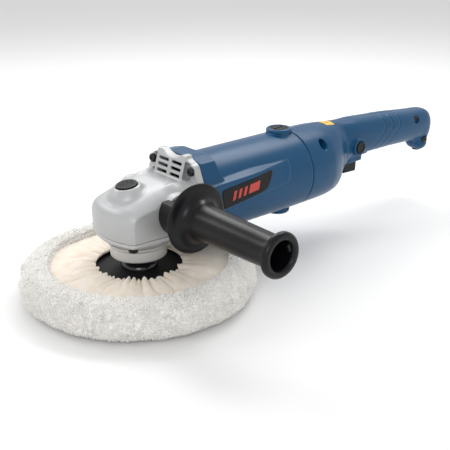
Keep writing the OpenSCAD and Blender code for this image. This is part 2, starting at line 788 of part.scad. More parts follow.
module handle_screws() {
  color([0.2, 0.2, 0.2]) {
    for (spot = handle_screw_spots) translate([spot[0], -11.5, spot[1]]) rotate([90, 0, 0])
      pan_screw(4, 2.4, 1.8, 20);
    translate([deep_screw_spot[0], -16, deep_screw_spot[1]]) rotate([90, 0, 0]) pan_screw(4, 2.4, 1.8, 26);
  }
}

module trigger() {
  color([0.07, 0.07, 0.07]) difference() {
    rotate([90, 0, 0]) translate([0, 0, -7]) linear_extrude(14)
      polygon([
        [250.6, 69], [268, 69], [270.8, 66], [271.6, 62],
        [269.8, 50.6], [257.5, 49.6], [256.5, 58], [250.6, 60]
      ]);
    rod_y(trigger_pivot[0], trigger_pivot[1], -20, 20, 1.56);
  }
}

module trigger_pin() {
  color([0.6, 0.6, 0.62]) rod_y(trigger_pivot[0], trigger_pivot[1], -9.5, 9.5, 1.5);
}

module trigger_spring() {
  color([0.6, 0.6, 0.62]) translate([264, 0, 69.1]) coil_spring(8.8, 3, 0.45, 5);
}

module switch_body() {
  color([0.13, 0.13, 0.13]) difference() {
    box([258, -6.5, 78.2], [292, 10, 96]);
    translate([264, 0, 78]) cylinder(h = 1.6, r = 3.8);
  }
}

module lock_on_button() {
  color([0.08, 0.08, 0.08]) union() {
    rod_y(lock_on[0], lock_on[1], -21.6, -15, 6);
    rod_y(lock_on[0], lock_on[1], -15, -13.4, 3);
  }
}

module lock_on_spring() {
  color([0.6, 0.6, 0.62]) translate([lock_on[0], -9.4, lock_on[1]]) rotate([90, 0, 0])
    coil_spring(3.8, 4.2, 0.35, 3);
}

module terminal_block() {
  color([0.85, 0.83, 0.78]) box([312, -7, 78], [334, 7, 90]);
}

module cord_clamp() {
  color([0.1, 0.1, 0.1]) box([366, -6, 76], [376, 6, 81]);
}

module inlet_bush() {
  color([0.06, 0.06, 0.06]) translate([inlet_x, 0, 0]) difference() {
    translate([0, 0, 50.4]) cylinder(h = 9.6, r = 4.45);
    translate([0, 0, 40]) cylinder(h = 30, r = 3.1);
  }
}

module warning_sticker() {
  color([0.95, 0.75, 0.2]) intersection() {
    translate([224, -7, motor_z]) cube([13, 12, 50]);
    difference() {
      skin(handle_rings(-0.35, 36));
      skin(handle_rings(0, 36));
    }
  }
}

gear_case();
bearing_box();
bearing_box_screws();
gear_case_screws();
spindle_bearing_outer();
bearing_retainer();
dust_seal();
needle_bearing();
spindle();
ring_gear();
spindle_bearing_inner();
spindle_bearing_balls();
gear_key();
spindle_snap_ring();
pad_hub();
rubber_pad();
wool_bonnet();
bonnet_skirt();
drawstring();
lock_button();
lock_pin();
lock_spring();
side_handle_grip();
side_handle_collar();
side_handle_stud();
motor_housing();
nameplates();
fan_baffle();
stator_core();
field_coils();
brush_holders();
carbon_brushes();
brush_springs();
brush_caps();
armature_shaft();
pinion();
pinion_nut();
armature_core();
armature_windings();
commutator();
fan();
armature_bearing_inners();
armature_bearing_outers();
bearing_sleeve();
handle_left();
handle_right();
handle_screws();
trigger();
trigger_pin();
trigger_spring();
switch_body();
lock_on_button();
lock_on_spring();
terminal_block();
cord_clamp();
inlet_bush();
warning_sticker();
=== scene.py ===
import math
import random
import bmesh
import bpy
import numpy as np
from mathutils import Matrix, Vector, noise


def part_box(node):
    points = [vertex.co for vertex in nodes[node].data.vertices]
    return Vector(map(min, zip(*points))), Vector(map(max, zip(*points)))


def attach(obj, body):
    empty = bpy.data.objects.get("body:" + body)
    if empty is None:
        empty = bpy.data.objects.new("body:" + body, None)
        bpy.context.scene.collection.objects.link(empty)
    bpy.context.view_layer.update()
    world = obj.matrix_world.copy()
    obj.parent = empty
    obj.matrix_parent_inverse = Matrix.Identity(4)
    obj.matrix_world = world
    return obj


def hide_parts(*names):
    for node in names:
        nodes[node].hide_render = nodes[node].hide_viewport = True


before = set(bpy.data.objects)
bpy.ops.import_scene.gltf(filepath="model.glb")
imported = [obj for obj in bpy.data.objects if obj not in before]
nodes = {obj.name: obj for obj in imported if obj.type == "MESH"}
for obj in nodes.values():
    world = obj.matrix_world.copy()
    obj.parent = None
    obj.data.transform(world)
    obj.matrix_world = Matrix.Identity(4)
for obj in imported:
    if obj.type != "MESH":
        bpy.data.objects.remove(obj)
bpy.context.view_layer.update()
mm = 0.001


def corners(node):  # lowest and highest corner of a CAD node, in millimetres
    low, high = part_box(node)
    return np.array(low) / mm, np.array(high) / mm


def middle(node):
    low, high = corners(node)
    return (low + high) / 2


motorZ = middle("armature_shaft")[2]
flangeX = corners("motor_housing")[0][0]
seamX = corners("handle_left")[0][0]
sideX, sideZ = middle("side_handle_grip")[0], middle("side_handle_grip")[2]
lockX = middle("lock_button")[0]
lockTop = corners("lock_button")[1][2]
brushX = middle("brush_caps")[0]
print("frame loaded, motor axis at", round(motorZ, 1))


# Shapes and small tools

def addMesh(name, points, faces):  # points in millimetres
    mesh = bpy.data.meshes.new(name)
    mesh.from_pydata((np.asarray(points, float) * mm).tolist(), [], [list(f) for f in faces])
    mesh.validate()
    obj = bpy.data.objects.new(name, mesh)
    bpy.context.scene.collection.objects.link(obj)
    return obj


def freeze(obj):  # keeps what the modifiers make, as a plain mesh
    bpy.context.view_layer.update()
    graph = bpy.context.evaluated_depsgraph_get()
    mesh = bpy.data.meshes.new_from_object(obj.evaluated_get(graph), depsgraph=graph)
    obj.modifiers.clear()
    obj.data = mesh
    return obj


def pointOutwards(obj):
    work = bmesh.new()
    work.from_mesh(obj.data)
    bmesh.ops.remove_doubles(work, verts=work.verts, dist=1e-6)
    bmesh.ops.recalc_face_normals(work, faces=work.faces)
    work.to_mesh(obj.data)
    work.free()
    return obj


def softShade(obj, angle=None):
    obj.data.shade_smooth()
    if angle:
        obj.data.set_sharp_from_angle(angle=math.radians(angle))
    return obj


def roundCorners(points, radius, steps=5):  # a closed outline with its corners eased
    out = []
    for i, here in enumerate(points):
        here = np.array(here, float)
        before, after = np.array(points[i - 1], float), np.array(points[(i + 1) % len(points)], float)
        a, b = before - here, after - here
        la, lb = np.linalg.norm(a), np.linalg.norm(b)
        r = min(radius, la * 0.45, lb * 0.45)
        if here[0] <= 0 or r < 0.02:
            out.append(here)
            continue
        start, end = here + a / la * r, here + b / lb * r
        for k in range(steps + 1):
            t = k / steps
            out.append((1 - t) ** 2 * start + 2 * t * (1 - t) * here + t ** 2 * end)
    return out


def arcPoints(middleR, middleH, wide, high, angles):  # an arc of an outline, its angles in degrees
    turns = [math.radians(a) for a in angles]
    return [(middleR + wide * math.cos(turn), middleH + high * math.sin(turn)) for turn in turns]


def lathe(name, outline, place, axis, segments=96):  # outline holds (radius, distance along the axis)
    along = np.array(axis, float)
    across = np.array((0, 0, 1.0)) if abs(along[2]) < 0.5 else np.array((1.0, 0, 0))
    other = np.cross(along, across)
    points, rings = [], []
    for r, h in outline:
        ring = []
        if r < 1e-6:
            ring = [len(points)] * segments
            points.append(np.array(place) + along * h)
        else:
            for i in range(segments):
                turn = 2 * math.pi * i / segments
                spoke = math.cos(turn) * across + math.sin(turn) * other
                ring.append(len(points))
                points.append(np.array(place) + along * h + r * spoke)
        rings.append(ring)
    faces = []
    for a, b in zip(rings, rings[1:] + rings[:1]):
        for i in range(segments):
            j = (i + 1) % segments
            face = [a[i], a[j], b[j], b[i]]
            face = [v for k, v in enumerate(face) if v != face[k - 1]]
            if len(set(face)) > 2:
                faces.append(face)
    return pointOutwards(addMesh(name, points, faces))


def joinPieces(name, pieces):
    work = bmesh.new()
    for piece in pieces:
        work.from_mesh(piece.data)
    mesh = bpy.data.meshes.new(name)
    work.to_mesh(mesh)
    work.free()
    for mat in pieces[0].data.materials:
        mesh.materials.append(mat)
    obj = bpy.data.objects.new(name, mesh)
    bpy.context.scene.collection.objects.link(obj)
    for piece in pieces:
        bpy.data.objects.remove(piece)
    return obj


# Casings are drawn as fields: below zero inside, zero on the surface, in millimetres

def joined(a, b, ease):  # both shapes, with a fillet where they meet
    h = np.maximum(ease - np.abs(a - b), 0) / ease
    return np.minimum(a, b) - h * h * ease * 0.25


def common(a, b, ease=0.8):  # where both shapes are, with an eased edge
    return -joined(-a, -b, ease)


def without(a, b, ease=0.6):
    return common(a, -b, ease)


def drilled(body, u, v, radius, limit, ease):  # a round hole, kept to where the limit is below zero
    return without(body, np.maximum(round2(u, v, radius), limit), ease)


def between(u, low, high):
    return np.maximum(low - u, u - high)


def round2(u, v, radius):
    return np.sqrt(u * u + v * v) - radius


def fromLine(u, v, start, end):  # distance from a straight line between two points
    run, rise = end[0] - start[0], end[1] - start[1]
    t = np.clip(((u - start[0]) * run + (v - start[1]) * rise) / (run * run + rise * rise), 0, 1)
    return np.sqrt((u - start[0] - t * run) ** 2 + (v - start[1] - t * rise) ** 2)


def inOutline(u, v, outline):  # inside a convex outline that runs anticlockwise
    result = None
    for (u0, v0), (u1, v1) in zip(outline, outline[1:] + outline[:1]):
        size = math.hypot(u1 - u0, v1 - v0)
        edge = ((v1 - v0) * (u - u0) - (u1 - u0) * (v - v0)) / size
        result = edge if result is None else common(result, edge, 0.8)
    return result


def smoothStep(t):
    t = np.clip(t, 0, 1)
    return t * t * (3 - 2 * t)


def surfaceOf(name, field, low, high, step):  # quads where the field is zero, one point to each crossed cell
    slab, passes, nudge = 24, 3, 0.04  # planes worked at once, passes onto the surface, reach of its slope
    axes = [np.arange(low[i], high[i] + step, step) for i in range(3)]
    values = np.concatenate([
        np.broadcast_to(field(axes[0][i:i + slab, None, None], axes[1][None, :, None], axes[2][None, None, :]),
                        (len(axes[0][i:i + slab]), len(axes[1]), len(axes[2]))).astype(np.float32)
        for i in range(0, len(axes[0]), slab)])
    inside = values < 0
    offsets = [(a, b, c) for a in (0, 1) for b in (0, 1) for c in (0, 1)]
    count = np.zeros(tuple(n - 1 for n in values.shape), np.int8)
    for a, b, c in offsets:
        count += inside[a:a + count.shape[0], b:b + count.shape[1], c:c + count.shape[2]]
    cells = np.argwhere((count > 0) & (count < 8))
    index = np.full(count.shape, -1, np.int64)
    index[tuple(cells.T)] = np.arange(len(cells))
    places, hits = np.zeros((len(cells), 3)), np.zeros(len(cells))
    for a in offsets:
        for b in offsets:
            if sum(b) - sum(a) != 1 or sum(abs(p - q) for p, q in zip(a, b)) != 1:
                continue
            va, vb = values[tuple((cells + a).T)], values[tuple((cells + b).T)]
            cross = (va < 0) != (vb < 0)
            t = np.where(cross, va / np.where(cross, va - vb, 1), 0)[:, None]
            places += np.where(cross[:, None], np.array(a) + t * (np.array(b) - np.array(a)), 0)
            hits += cross
    points = (cells + places / hits[:, None]) * step + np.array([ax[0] for ax in axes])
    quads = []
    for axis in range(3):
        u, v = (axis + 1) % 3, (axis + 2) % 3
        first, second = [slice(None)] * 3, [slice(None)] * 3
        first[axis], second[axis] = slice(0, -1), slice(1, None)
        change = np.argwhere(inside[tuple(first)] != inside[tuple(second)])
        change = change[(change[:, u] > 0) & (change[:, v] > 0)
                        & (change[:, u] < values.shape[u] - 1) & (change[:, v] < values.shape[v] - 1)]
        outward = inside[tuple(first)][tuple(change.T)]
        ring = []
        for du, dv in ((1, 1), (0, 1), (0, 0), (1, 0)):
            cell = change.copy()
            cell[:, u] -= du
            cell[:, v] -= dv
            ring.append(index[tuple(cell.T)])
        ring = np.stack(ring, 1)
        quads.append(np.where(outward[:, None], ring, ring[:, ::-1]))
    for _ in range(passes):  # draw each point onto the true surface
        here = field(*points.T)
        change = [field(*(points + d).T) - field(*(points - d).T) for d in np.eye(3) * nudge]
        slope = np.stack(change, 1) / (2 * nudge)
        move = -here[:, None] * slope / np.maximum((slope ** 2).sum(1), 0.05)[:, None]
        size = np.linalg.norm(move, axis=1, keepdims=True)
        points = points + move * np.minimum(1, 0.4 * step / np.maximum(size, 1e-9))
    return softShade(addMesh(name, points, np.concatenate(quads)))


# Geometry Nodes: one tree that sets copies of a piece on points, one that grows the pile

def setInput(modifier, name, value):
    for item in modifier.node_group.interface.items_tree:
        if item.item_type == "SOCKET" and item.in_out == "INPUT" and item.name == name:
            modifier[item.identifier] = value


def newTree(name, inputs):
    tree = bpy.data.node_groups.new(name, "GeometryNodeTree")
    tree.interface.new_socket("Geometry", in_out="INPUT", socket_type="NodeSocketGeometry")
    for label, kind, default in inputs:
        socket = tree.interface.new_socket(label, in_out="INPUT", socket_type="NodeSocket" + kind)
        if default is not None:
            socket.default_value = default
    tree.interface.new_socket("Geometry", in_out="OUTPUT", socket_type="NodeSocketGeometry")
    return tree, tree.nodes.new("NodeGroupInput"), tree.nodes.new("NodeGroupOutput")


def readAttribute(tree, name, kind):
    node = tree.nodes.new("GeometryNodeInputNamedAttribute")
    node.data_type = kind
    node.inputs["Name"].default_value = name
    return node


def copiesTree():
    tree, given, out = newTree("copiesOnPoints", [("Piece", "Object", None), ("Finish", "Material", None)])
    add, link = tree.nodes.new, tree.links.new
    piece = add("GeometryNodeObjectInfo")
    facing = readAttribute(tree, "facing", "FLOAT_VECTOR")
    turn = add("FunctionNodeAlignRotationToVector")
    turn.axis = "Z"
    put = add("GeometryNodeInstanceOnPoints")
    real = add("GeometryNodeRealizeInstances")
    paint = add("GeometryNodeSetMaterial")
    link(given.outputs["Piece"], piece.inputs["Object"])
    link(facing.outputs["Attribute"], turn.inputs["Vector"])
    link(given.outputs["Geometry"], put.inputs["Points"])
    link(piece.outputs["Geometry"], put.inputs["Instance"])
    link(turn.outputs["Rotation"], put.inputs["Rotation"])
    link(put.outputs["Instances"], real.inputs["Geometry"])
    link(real.outputs["Geometry"], paint.inputs["Geometry"])
    link(given.outputs["Finish"], paint.inputs["Material"])
    link(paint.outputs["Geometry"], out.inputs["Geometry"])
    return tree


def pileTree():
    tree, given, out = newTree("woolPile", [
        ("Tuft", "Object", None), ("Density", "Float", 1000.0), ("Shortest", "Float", 0.7),
        ("Longest", "Float", 1.3), ("Lean", "Float", 0.5), ("Seed", "Int", 3), ("Finish", "Material", None)])
    add, link = tree.nodes.new, tree.links.new
    thick = readAttribute(tree, "pile", "FLOAT")
    much = add("ShaderNodeMath")
    much.operation = "MULTIPLY"
    link(given.outputs["Density"], much.inputs[0])
    link(thick.outputs["Attribute"], much.inputs[1])
    scatter = add("GeometryNodeDistributePointsOnFaces")
    link(given.outputs["Geometry"], scatter.inputs["Mesh"])
    link(much.outputs[0], scatter.inputs["Density"])
    link(given.outputs["Seed"], scatter.inputs["Seed"])
    tuft = add("GeometryNodeObjectInfo")
    link(given.outputs["Tuft"], tuft.inputs["Object"])
    spin = add("FunctionNodeRandomValue")
    spin.data_type = "FLOAT_VECTOR"
    spin.inputs["Min"].default_value = (-1, -1, -1)
    spin.inputs["Max"].default_value = (1, 1, 1)
    link(given.outputs["Seed"], spin.inputs["Seed"])
    lean = add("ShaderNodeVectorMath")
    lean.operation = "SCALE"
    link(spin.outputs[0], lean.inputs[0])
    link(given.outputs["Lean"], lean.inputs["Scale"])
    comb = readAttribute(tree, "comb", "FLOAT_VECTOR")
    leaned = add("ShaderNodeVectorMath")
    link(lean.outputs[0], leaned.inputs[0])
    link(scatter.outputs["Normal"], leaned.inputs[1])
    combed = add("ShaderNodeVectorMath")
    link(leaned.outputs[0], combed.inputs[0])
    link(comb.outputs["Attribute"], combed.inputs[1])
    turn = add("FunctionNodeAlignRotationToVector")
    turn.axis = "Z"
    link(combed.outputs[0], turn.inputs["Vector"])
    size = add("FunctionNodeRandomValue")
    size.data_type = "FLOAT"
    link(given.outputs["Shortest"], size.inputs["Min"])
    link(given.outputs["Longest"], size.inputs["Max"])
    link(given.outputs["Seed"], size.inputs["Seed"])
    put = add("GeometryNodeInstanceOnPoints")
    link(scatter.outputs["Points"], put.inputs["Points"])
    link(tuft.outputs["Geometry"], put.inputs["Instance"])
    link(turn.outputs["Rotation"], put.inputs["Rotation"])
    link([s for s in size.outputs if s.enabled][0], put.inputs["Scale"])
    real = add("GeometryNodeRealizeInstances")
    both = add("GeometryNodeJoinGeometry")
    paint = add("GeometryNodeSetMaterial")
    link(put.outputs["Instances"], real.inputs["Geometry"])
    link(given.outputs["Geometry"], both.inputs["Geometry"])
    link(real.outputs["Geometry"], both.inputs["Geometry"])
    link(both.outputs["Geometry"], paint.inputs["Geometry"])
    link(given.outputs["Finish"], paint.inputs["Material"])
    link(paint.outputs["Geometry"], out.inputs["Geometry"])
    return tree


setCopies = copiesTree()
growPile = pileTree()


def copiesOn(name, spots, piece, finish):  # spots holds (place, facing) in millimetres
    holder = addMesh(name, [place for place, _ in spots], [])
    facing = holder.data.attributes.new("facing", "FLOAT_VECTOR", "POINT")
    facing.data.foreach_set("vector", [c for _, way in spots for c in way])
    modifier = holder.modifiers.new("copies", "NODES")
    modifier.node_group = setCopies
    setInput(modifier, "Piece", piece)
    setInput(modifier, "Finish", finish)
    freeze(holder)
    bpy.data.objects.remove(piece)
    return softShade(holder, 35)


def handOver(piece, body, slot, *stands):
    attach(piece, body)
    if stands:
        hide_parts(*stands)
    return piece


# Finishes

def makeFinish(name, colour, roughness, metallic=0.0, grain=0.5, depth=0.01, patch=0.06, patchSize=14.0,
               dirt=None, coat=0.0, sheen=0.0, specular=0.5):  # grain, depth and patchSize in millimetres
    mat = bpy.data.materials.new(name)
    mat.use_nodes = True
    tree = mat.node_tree
    add, link = tree.nodes.new, tree.links.new
    shader = tree.nodes["Principled BSDF"]
    shader.inputs["Metallic"].default_value = metallic
    shader.inputs["Specular IOR Level"].default_value = specular
    shader.inputs["Coat Weight"].default_value = coat
    shader.inputs["Sheen Weight"].default_value = sheen
    coords = add("ShaderNodeTexCoord")
    fine = add("ShaderNodeTexNoise")  # the moulded or cast grain
    fine.inputs["Scale"].default_value = 1 / (grain * mm)
    fine.inputs["Detail"].default_value = 3
    link(coords.outputs["Object"], fine.inputs["Vector"])
    bump = add("ShaderNodeBump")
    bump.inputs["Distance"].default_value = depth * mm
    link(fine.outputs["Fac"], bump.inputs["Height"])
    link(bump.outputs["Normal"], shader.inputs["Normal"])
    broad = add("ShaderNodeTexNoise")  # slow change of shade over the piece
    broad.inputs["Scale"].default_value = 1 / (patchSize * mm)
    broad.inputs["Detail"].default_value = 4
    link(coords.outputs["Object"], broad.inputs["Vector"])
    tones = add("ShaderNodeValToRGB")
    tones.color_ramp.elements[0].position, tones.color_ramp.elements[1].position = 0.3, 0.7
    tones.color_ramp.elements[0].color = [c * (1 - patch) for c in (dirt or colour)] + [1]
    tones.color_ramp.elements[1].color = [min(1, c * (1 + patch)) for c in colour] + [1]
    link(broad.outputs["Fac"], tones.inputs["Fac"])
    link(tones.outputs["Color"], shader.inputs["Base Color"])
    gloss = add("ShaderNodeMapRange")
    gloss.inputs["To Min"].default_value = max(0.03, roughness - 0.05)
    gloss.inputs["To Max"].default_value = min(1, roughness + 0.05)
    link(fine.outputs["Fac"], gloss.inputs["Value"])
    link(gloss.outputs["Result"], shader.inputs["Roughness"])
    return mat


finishSettings = {
    "castAlloy": dict(colour=(0.47, 0.475, 0.48), roughness=0.44, metallic=0.3, patch=0.02),
    "blueCasing": dict(colour=(0.005, 0.063, 0.152), roughness=0.33, grain=0.4, depth=0.012, patch=0.05,
                       patchSize=40, specular=0.28),
    "blackGrip": dict(colour=(0.0035, 0.0038, 0.005), roughness=0.3, depth=0.02, patch=0.1, specular=0.27),
    "blackMoulding": dict(colour=(0.004, 0.004, 0.005), roughness=0.4, grain=0.4, depth=0.015, patch=0.1,
                          specular=0.25),
    "glossBlack": dict(colour=(0.008, 0.008, 0.009), roughness=0.16, grain=1.5, depth=0.006, patch=0.1,
                       coat=0.3),
    "padRubber": dict(colour=(0.007, 0.007, 0.007), roughness=0.65, grain=0.7, depth=0.04, patch=0.15,
                      specular=0.3),
    "darkSteel": dict(colour=(0.035, 0.035, 0.038), roughness=0.24, metallic=0.8, grain=0.8, depth=0.004,
                      patch=0.1),
    "brightSteel": dict(colour=(0.62, 0.62, 0.63), roughness=0.24, metallic=1, grain=0.6, depth=0.004,
                        patch=0.05),
    "gearSteel": dict(colour=(0.34, 0.34, 0.35), roughness=0.34, metallic=1, depth=0.008, patch=0.12,
                      dirt=(0.22, 0.2, 0.17)),
    "coreSteel": dict(colour=(0.30, 0.29, 0.28), roughness=0.45, metallic=0.9, depth=0.02, patch=0.15,
                      dirt=(0.2, 0.16, 0.12)),
    "copperWire": dict(colour=(0.62, 0.24, 0.10), roughness=0.32, metallic=0.9, grain=0.6, depth=0.08,
                       patch=0.15),
    "brass": dict(colour=(0.66, 0.46, 0.17), roughness=0.3, metallic=1, depth=0.006, patch=0.1),
    "carbon": dict(colour=(0.03, 0.03, 0.032), roughness=0.55, metallic=0.3, grain=0.3, depth=0.02,
                   patch=0.2),
    "felt": dict(colour=(0.09, 0.09, 0.085), roughness=0.9, grain=0.4, depth=0.15, patch=0.2, sheen=0.3),
    "creamPlastic": dict(colour=(0.66, 0.62, 0.5), roughness=0.4, patch=0.05),
    "innerRubber": dict(colour=(0.02, 0.02, 0.02), roughness=0.65, depth=0.03, patch=0.15),
}
finishes = {name: makeFinish(name, **settings) for name, settings in finishSettings.items()}

nodeFinishes = {
    "spindle_bearing_outer": "brightSteel", "bearing_retainer": "brightSteel", "dust_seal": "felt",
    "needle_bearing": "brightSteel", "spindle": "brightSteel", "ring_gear": "gearSteel",
    "spindle_bearing_inner": "brightSteel", "spindle_bearing_balls": "brightSteel", "gear_key": "gearSteel",
    "spindle_snap_ring": "darkSteel", "rubber_pad": "padRubber",
    "lock_pin": "brightSteel", "lock_spring": "brightSteel", "side_handle_stud": "brightSteel",
    "fan_baffle": "blackMoulding", "stator_core": "coreSteel", "field_coils": "copperWire",
    "brush_holders": "brass", "carbon_brushes": "carbon", "brush_springs": "brightSteel",
    "armature_shaft": "brightSteel", "pinion": "gearSteel", "pinion_nut": "darkSteel",
    "armature_core": "coreSteel", "armature_windings": "copperWire", "commutator": "copperWire",
    "fan": "blackMoulding", "armature_bearing_inners": "brightSteel", "armature_bearing_outers": "brightSteel",
    "bearing_sleeve": "innerRubber", "trigger_pin": "brightSteel", "trigger_spring": "brightSteel",
    "switch_body": "blackMoulding", "lock_on_spring": "brightSteel", "terminal_block": "creamPlastic",
    "cord_clamp": "blackMoulding", "inlet_bush": "innerRubber",
}
for nodeName, finishName in nodeFinishes.items():
    nodes[nodeName].data.materials.clear()
    nodes[nodeName].data.materials.append(finishes[finishName])
print("finishes made")


def paint(obj, finish):
    obj.data.materials.clear()
    obj.data.materials.append(finishes[finish] if isinstance(finish, str) else finish)
    return obj


# Gear case

gearCase = {"step": 0.64, "frontRadius": 63.75, "frontX": -33.0, "halfWidth": 30.0, "flare": 0.055,
            "topEase": 7.0, "sideEase": 0.8, "crownTop": 97.0, "shoulder": 2.4,
            "crease": 0.6, "markDepth": 0.3,
            "bossRadius": 15.5, "bossTop": 98.5, "bossSlant": 0.15, "pocketRadius": 9.3,
            "hoodHalf": 19.0, "hoodTop": 117.4, "hoodInside": 15.7, "dipHeight": 135.2, "dipRadius": 22.0,
            "slotWide": 13.2, "slotHigh": 2.7, "slotFirst": 99.4, "slotGap": 5.1, "slotOut": 8.7,
            "handleBoss": 15.0, "studRadius": 7.05, "chamberRadius": 27.6}
flangeSpots = [(-26, 106), (26, 106), (-27.5, 45), (27.5, 45)]
boxSpots = [(-21, -22.5), (-21, 22.5), (24, -26), (24, 26)]


def flangeOutline(grow, top):
    return [(-34 - grow, 50), (-27, 39 - grow), (27, 39 - grow), (34 + grow, 50), (34 + grow, 97),
            (28, 110.5 + grow), (14, top), (-14, top), (-28, 110.5 + grow), (-34 - grow, 97)]


def casePlan(x, y, inset=0.0):
    g = gearCase
    front = np.sqrt((x - g["frontX"] - g["frontRadius"]) ** 2 + y * y) - g["frontRadius"] + inset
    wall = np.abs(y) - (g["halfWidth"] + g["flare"] * (x + 25.5)) + inset
    return front, wall


def caseField(x, y, z):
    g = gearCase
    front, wall = casePlan(x, y)
    back = 33 - x
    drop = 9.8 + 0.1 * np.minimum(x, 0) - 0.3 * np.maximum(x - 14, 0)
    shoulder = g["shoulder"] * smoothStep((np.abs(y) - 16) / 6) * smoothStep((x - 10) / 12)
    crown = (g["crownTop"] + shoulder - 0.02456 * back - 0.003388 * back * back
             + 1.9 * smoothStep((back - 2) / 16) - drop * (np.maximum(np.abs(y) - 4, 0) / 27) ** 4.2)
    body = common(common(front, z - crown, g["topEase"]), wall, g["sideEase"])
    corner = np.exp(-((front - wall) / 0.6) ** 2) * smoothStep((80 - z) / 4)
    body = body + g["crease"] * corner
    mark = np.minimum(fromLine(x, y, (-22, -1.5), (-26, -6)), fromLine(x, y, (-22, -1.5), (-16.5, -14)))
    body = body + g["markDepth"] * np.exp(-(mark / 0.5) ** 2) * smoothStep((z - 76) / 3)  # moulded mark
    body = common(common(body, x - 40, 1), 58.15 - z, 0.5)
    # Boss of the lock button
    out = np.sqrt((x - lockX) ** 2 + y * y)
    rimZ = g["bossTop"] + (x - lockX) * g["bossSlant"]
    boss = common(common((out - 11 - (rimZ - z) * 0.73) * 0.81, out - g["bossRadius"], 1.5), z - rimZ, 1.2)
    body = joined(body, np.maximum(boss, 80 - z), 3)
    # Flange, throat and leaning louvre hood
    flange = common(inOutline(y, z, flangeOutline(0, g["hoodTop"])), between(x, 38, flangeX - 0.1), 0.8)
    throat = common(common(np.abs(y) - 29, between(x, 32, 39), 1),
                    np.maximum(58.5 - (x - 32.5) * 3.1 - z, z - 60), 1)
    lean = (32.3 - x + 0.27 * (z - 97)) / 1.036  # distance in front of the leaning louvre face
    hood = common(common(common(lean, np.abs(y) - g["hoodHalf"], 1.2), z - g["hoodTop"], 0.9),
                  np.maximum(90 - z, x - flangeX + 0.1))
    body = joined(joined(body, np.minimum(hood, throat), 0.8), flange, 0.8)
    # Bosses of the side handle, dip of the hood and the room behind its face
    body = joined(body, common(round2(x - sideX, z - sideZ, g["handleBoss"]), np.abs(y) - 35.4, 1), 1.2)
    body = without(body, round2(y, z - g["dipHeight"], g["dipRadius"]), 1.2)
    inner = common(common(lean + 2.2, np.abs(y) - g["hoodInside"]), between(z, 92, 111.8))
    body = without(body, np.maximum(inner, 33.5 - x), 0.5)
    body = without(body, np.maximum(np.maximum(between(np.abs(y), 16.7, 24), between(lean, -6.4, -1.4)),
                                    between(z, 93.5, 112)), 0.6)
    for row in range(3):
        for side in (-1, 1):
            slot = common(np.abs(y - side * g["slotOut"]) - g["slotWide"] / 2,
                          np.abs(z - g["slotFirst"] - row * g["slotGap"]) - g["slotHigh"] / 2, 0.6)
            body = without(body, np.maximum(slot, between(lean, -6, 2)), 0.3)
    # Screw seats, lock pocket and holes
    for sy, sz in flangeSpots:
        body = drilled(body, y - sy, z - sz, 5.2, between(x, 20, 38), 0.4)
        body = without(body, round2(y - sy, z - sz, 2.2), 0.2)
    body = without(body, np.maximum(out - g["pocketRadius"], 91 - z), 0.8)
    body = drilled(body, x + 13, y, 2.6, 60 - z, 0.2)
    body = drilled(body, x - sideX, z - sideZ, g["studRadius"], 20 - np.abs(y), 0.3)
    for sx, sy in boxSpots:
        body = drilled(body, x - sx, y - sy, 2, z - 68, 0.2)
    # Gear chamber, pinion room, bearing seat and the way to the fan
    chamber = np.minimum(np.maximum(round2(x, y, g["chamberRadius"]), z - 71.5),
                         np.maximum(round2(x, y, 22), z - 74.5))
    bore = round2(y, z - motorZ, 1)
    chamber = np.minimum(chamber, np.maximum(bore - 8.5, between(x, 9, 30)))
    chamber = np.minimum(chamber, np.maximum(bore - 15, between(x, 29, 41)))
    chamber = np.minimum(chamber, np.maximum(bore - 30, 40.5 - x))
    chamber = np.minimum(chamber, np.maximum(round2(x, y, 6), between(z, 70, 84.5)))
    return without(body, chamber, 0.4)


caseShell = surfaceOf("gearCase", caseField, (-35, -37, 37), (47, 37, 118), gearCase["step"])
paint(caseShell, "castAlloy")
handOver(caseShell, "tool", "alloy", "gear_case")
print("gear case:", len(caseShell.data.polygons), "faces")

# Bearing box below it

bearingBox = {"step": 0.6, "neckRadius": 24.1, "neckBottom": corners("bearing_box")[0][2], "rimRadius": 25.6}


def boxField(x, y, z):
    b = bearingBox
    front, wall = casePlan(x, y, 0.35)
    fall = smoothStep((57.2 - z) / 9.5) ** 1.7
    plan = common(common(front, wall, 2), x - 31, 4)
    body = common((1 - fall) * plan + fall * (round2(x, y, 26)), between(z, 48.2, 57.85), 0.8)
    neck = common(round2(x, y, b["neckRadius"]), between(z, b["neckBottom"], 50), 1.0)
    rim = common(round2(x, y, b["rimRadius"]), between(z, 45.6, 49), 0.9)
    body = joined(joined(body, rim, 0.6), neck, 0.8)
    for sx, sy in boxSpots:
        body = drilled(body, x - sx, y - sy, 4.4, z - 51.5, 0.4)
        body = without(body, round2(x - sx, y - sy, 2.3), 0.2)
    bore = np.minimum(np.maximum(round2(x, y, 17.6), between(z, 39, 52)),
                      np.maximum(round2(x, y, 20.3), 50 - z))
    bore = np.minimum(bore, np.maximum(round2(x, y, 12.6), z - 42))
    return without(body, bore, 0.5)


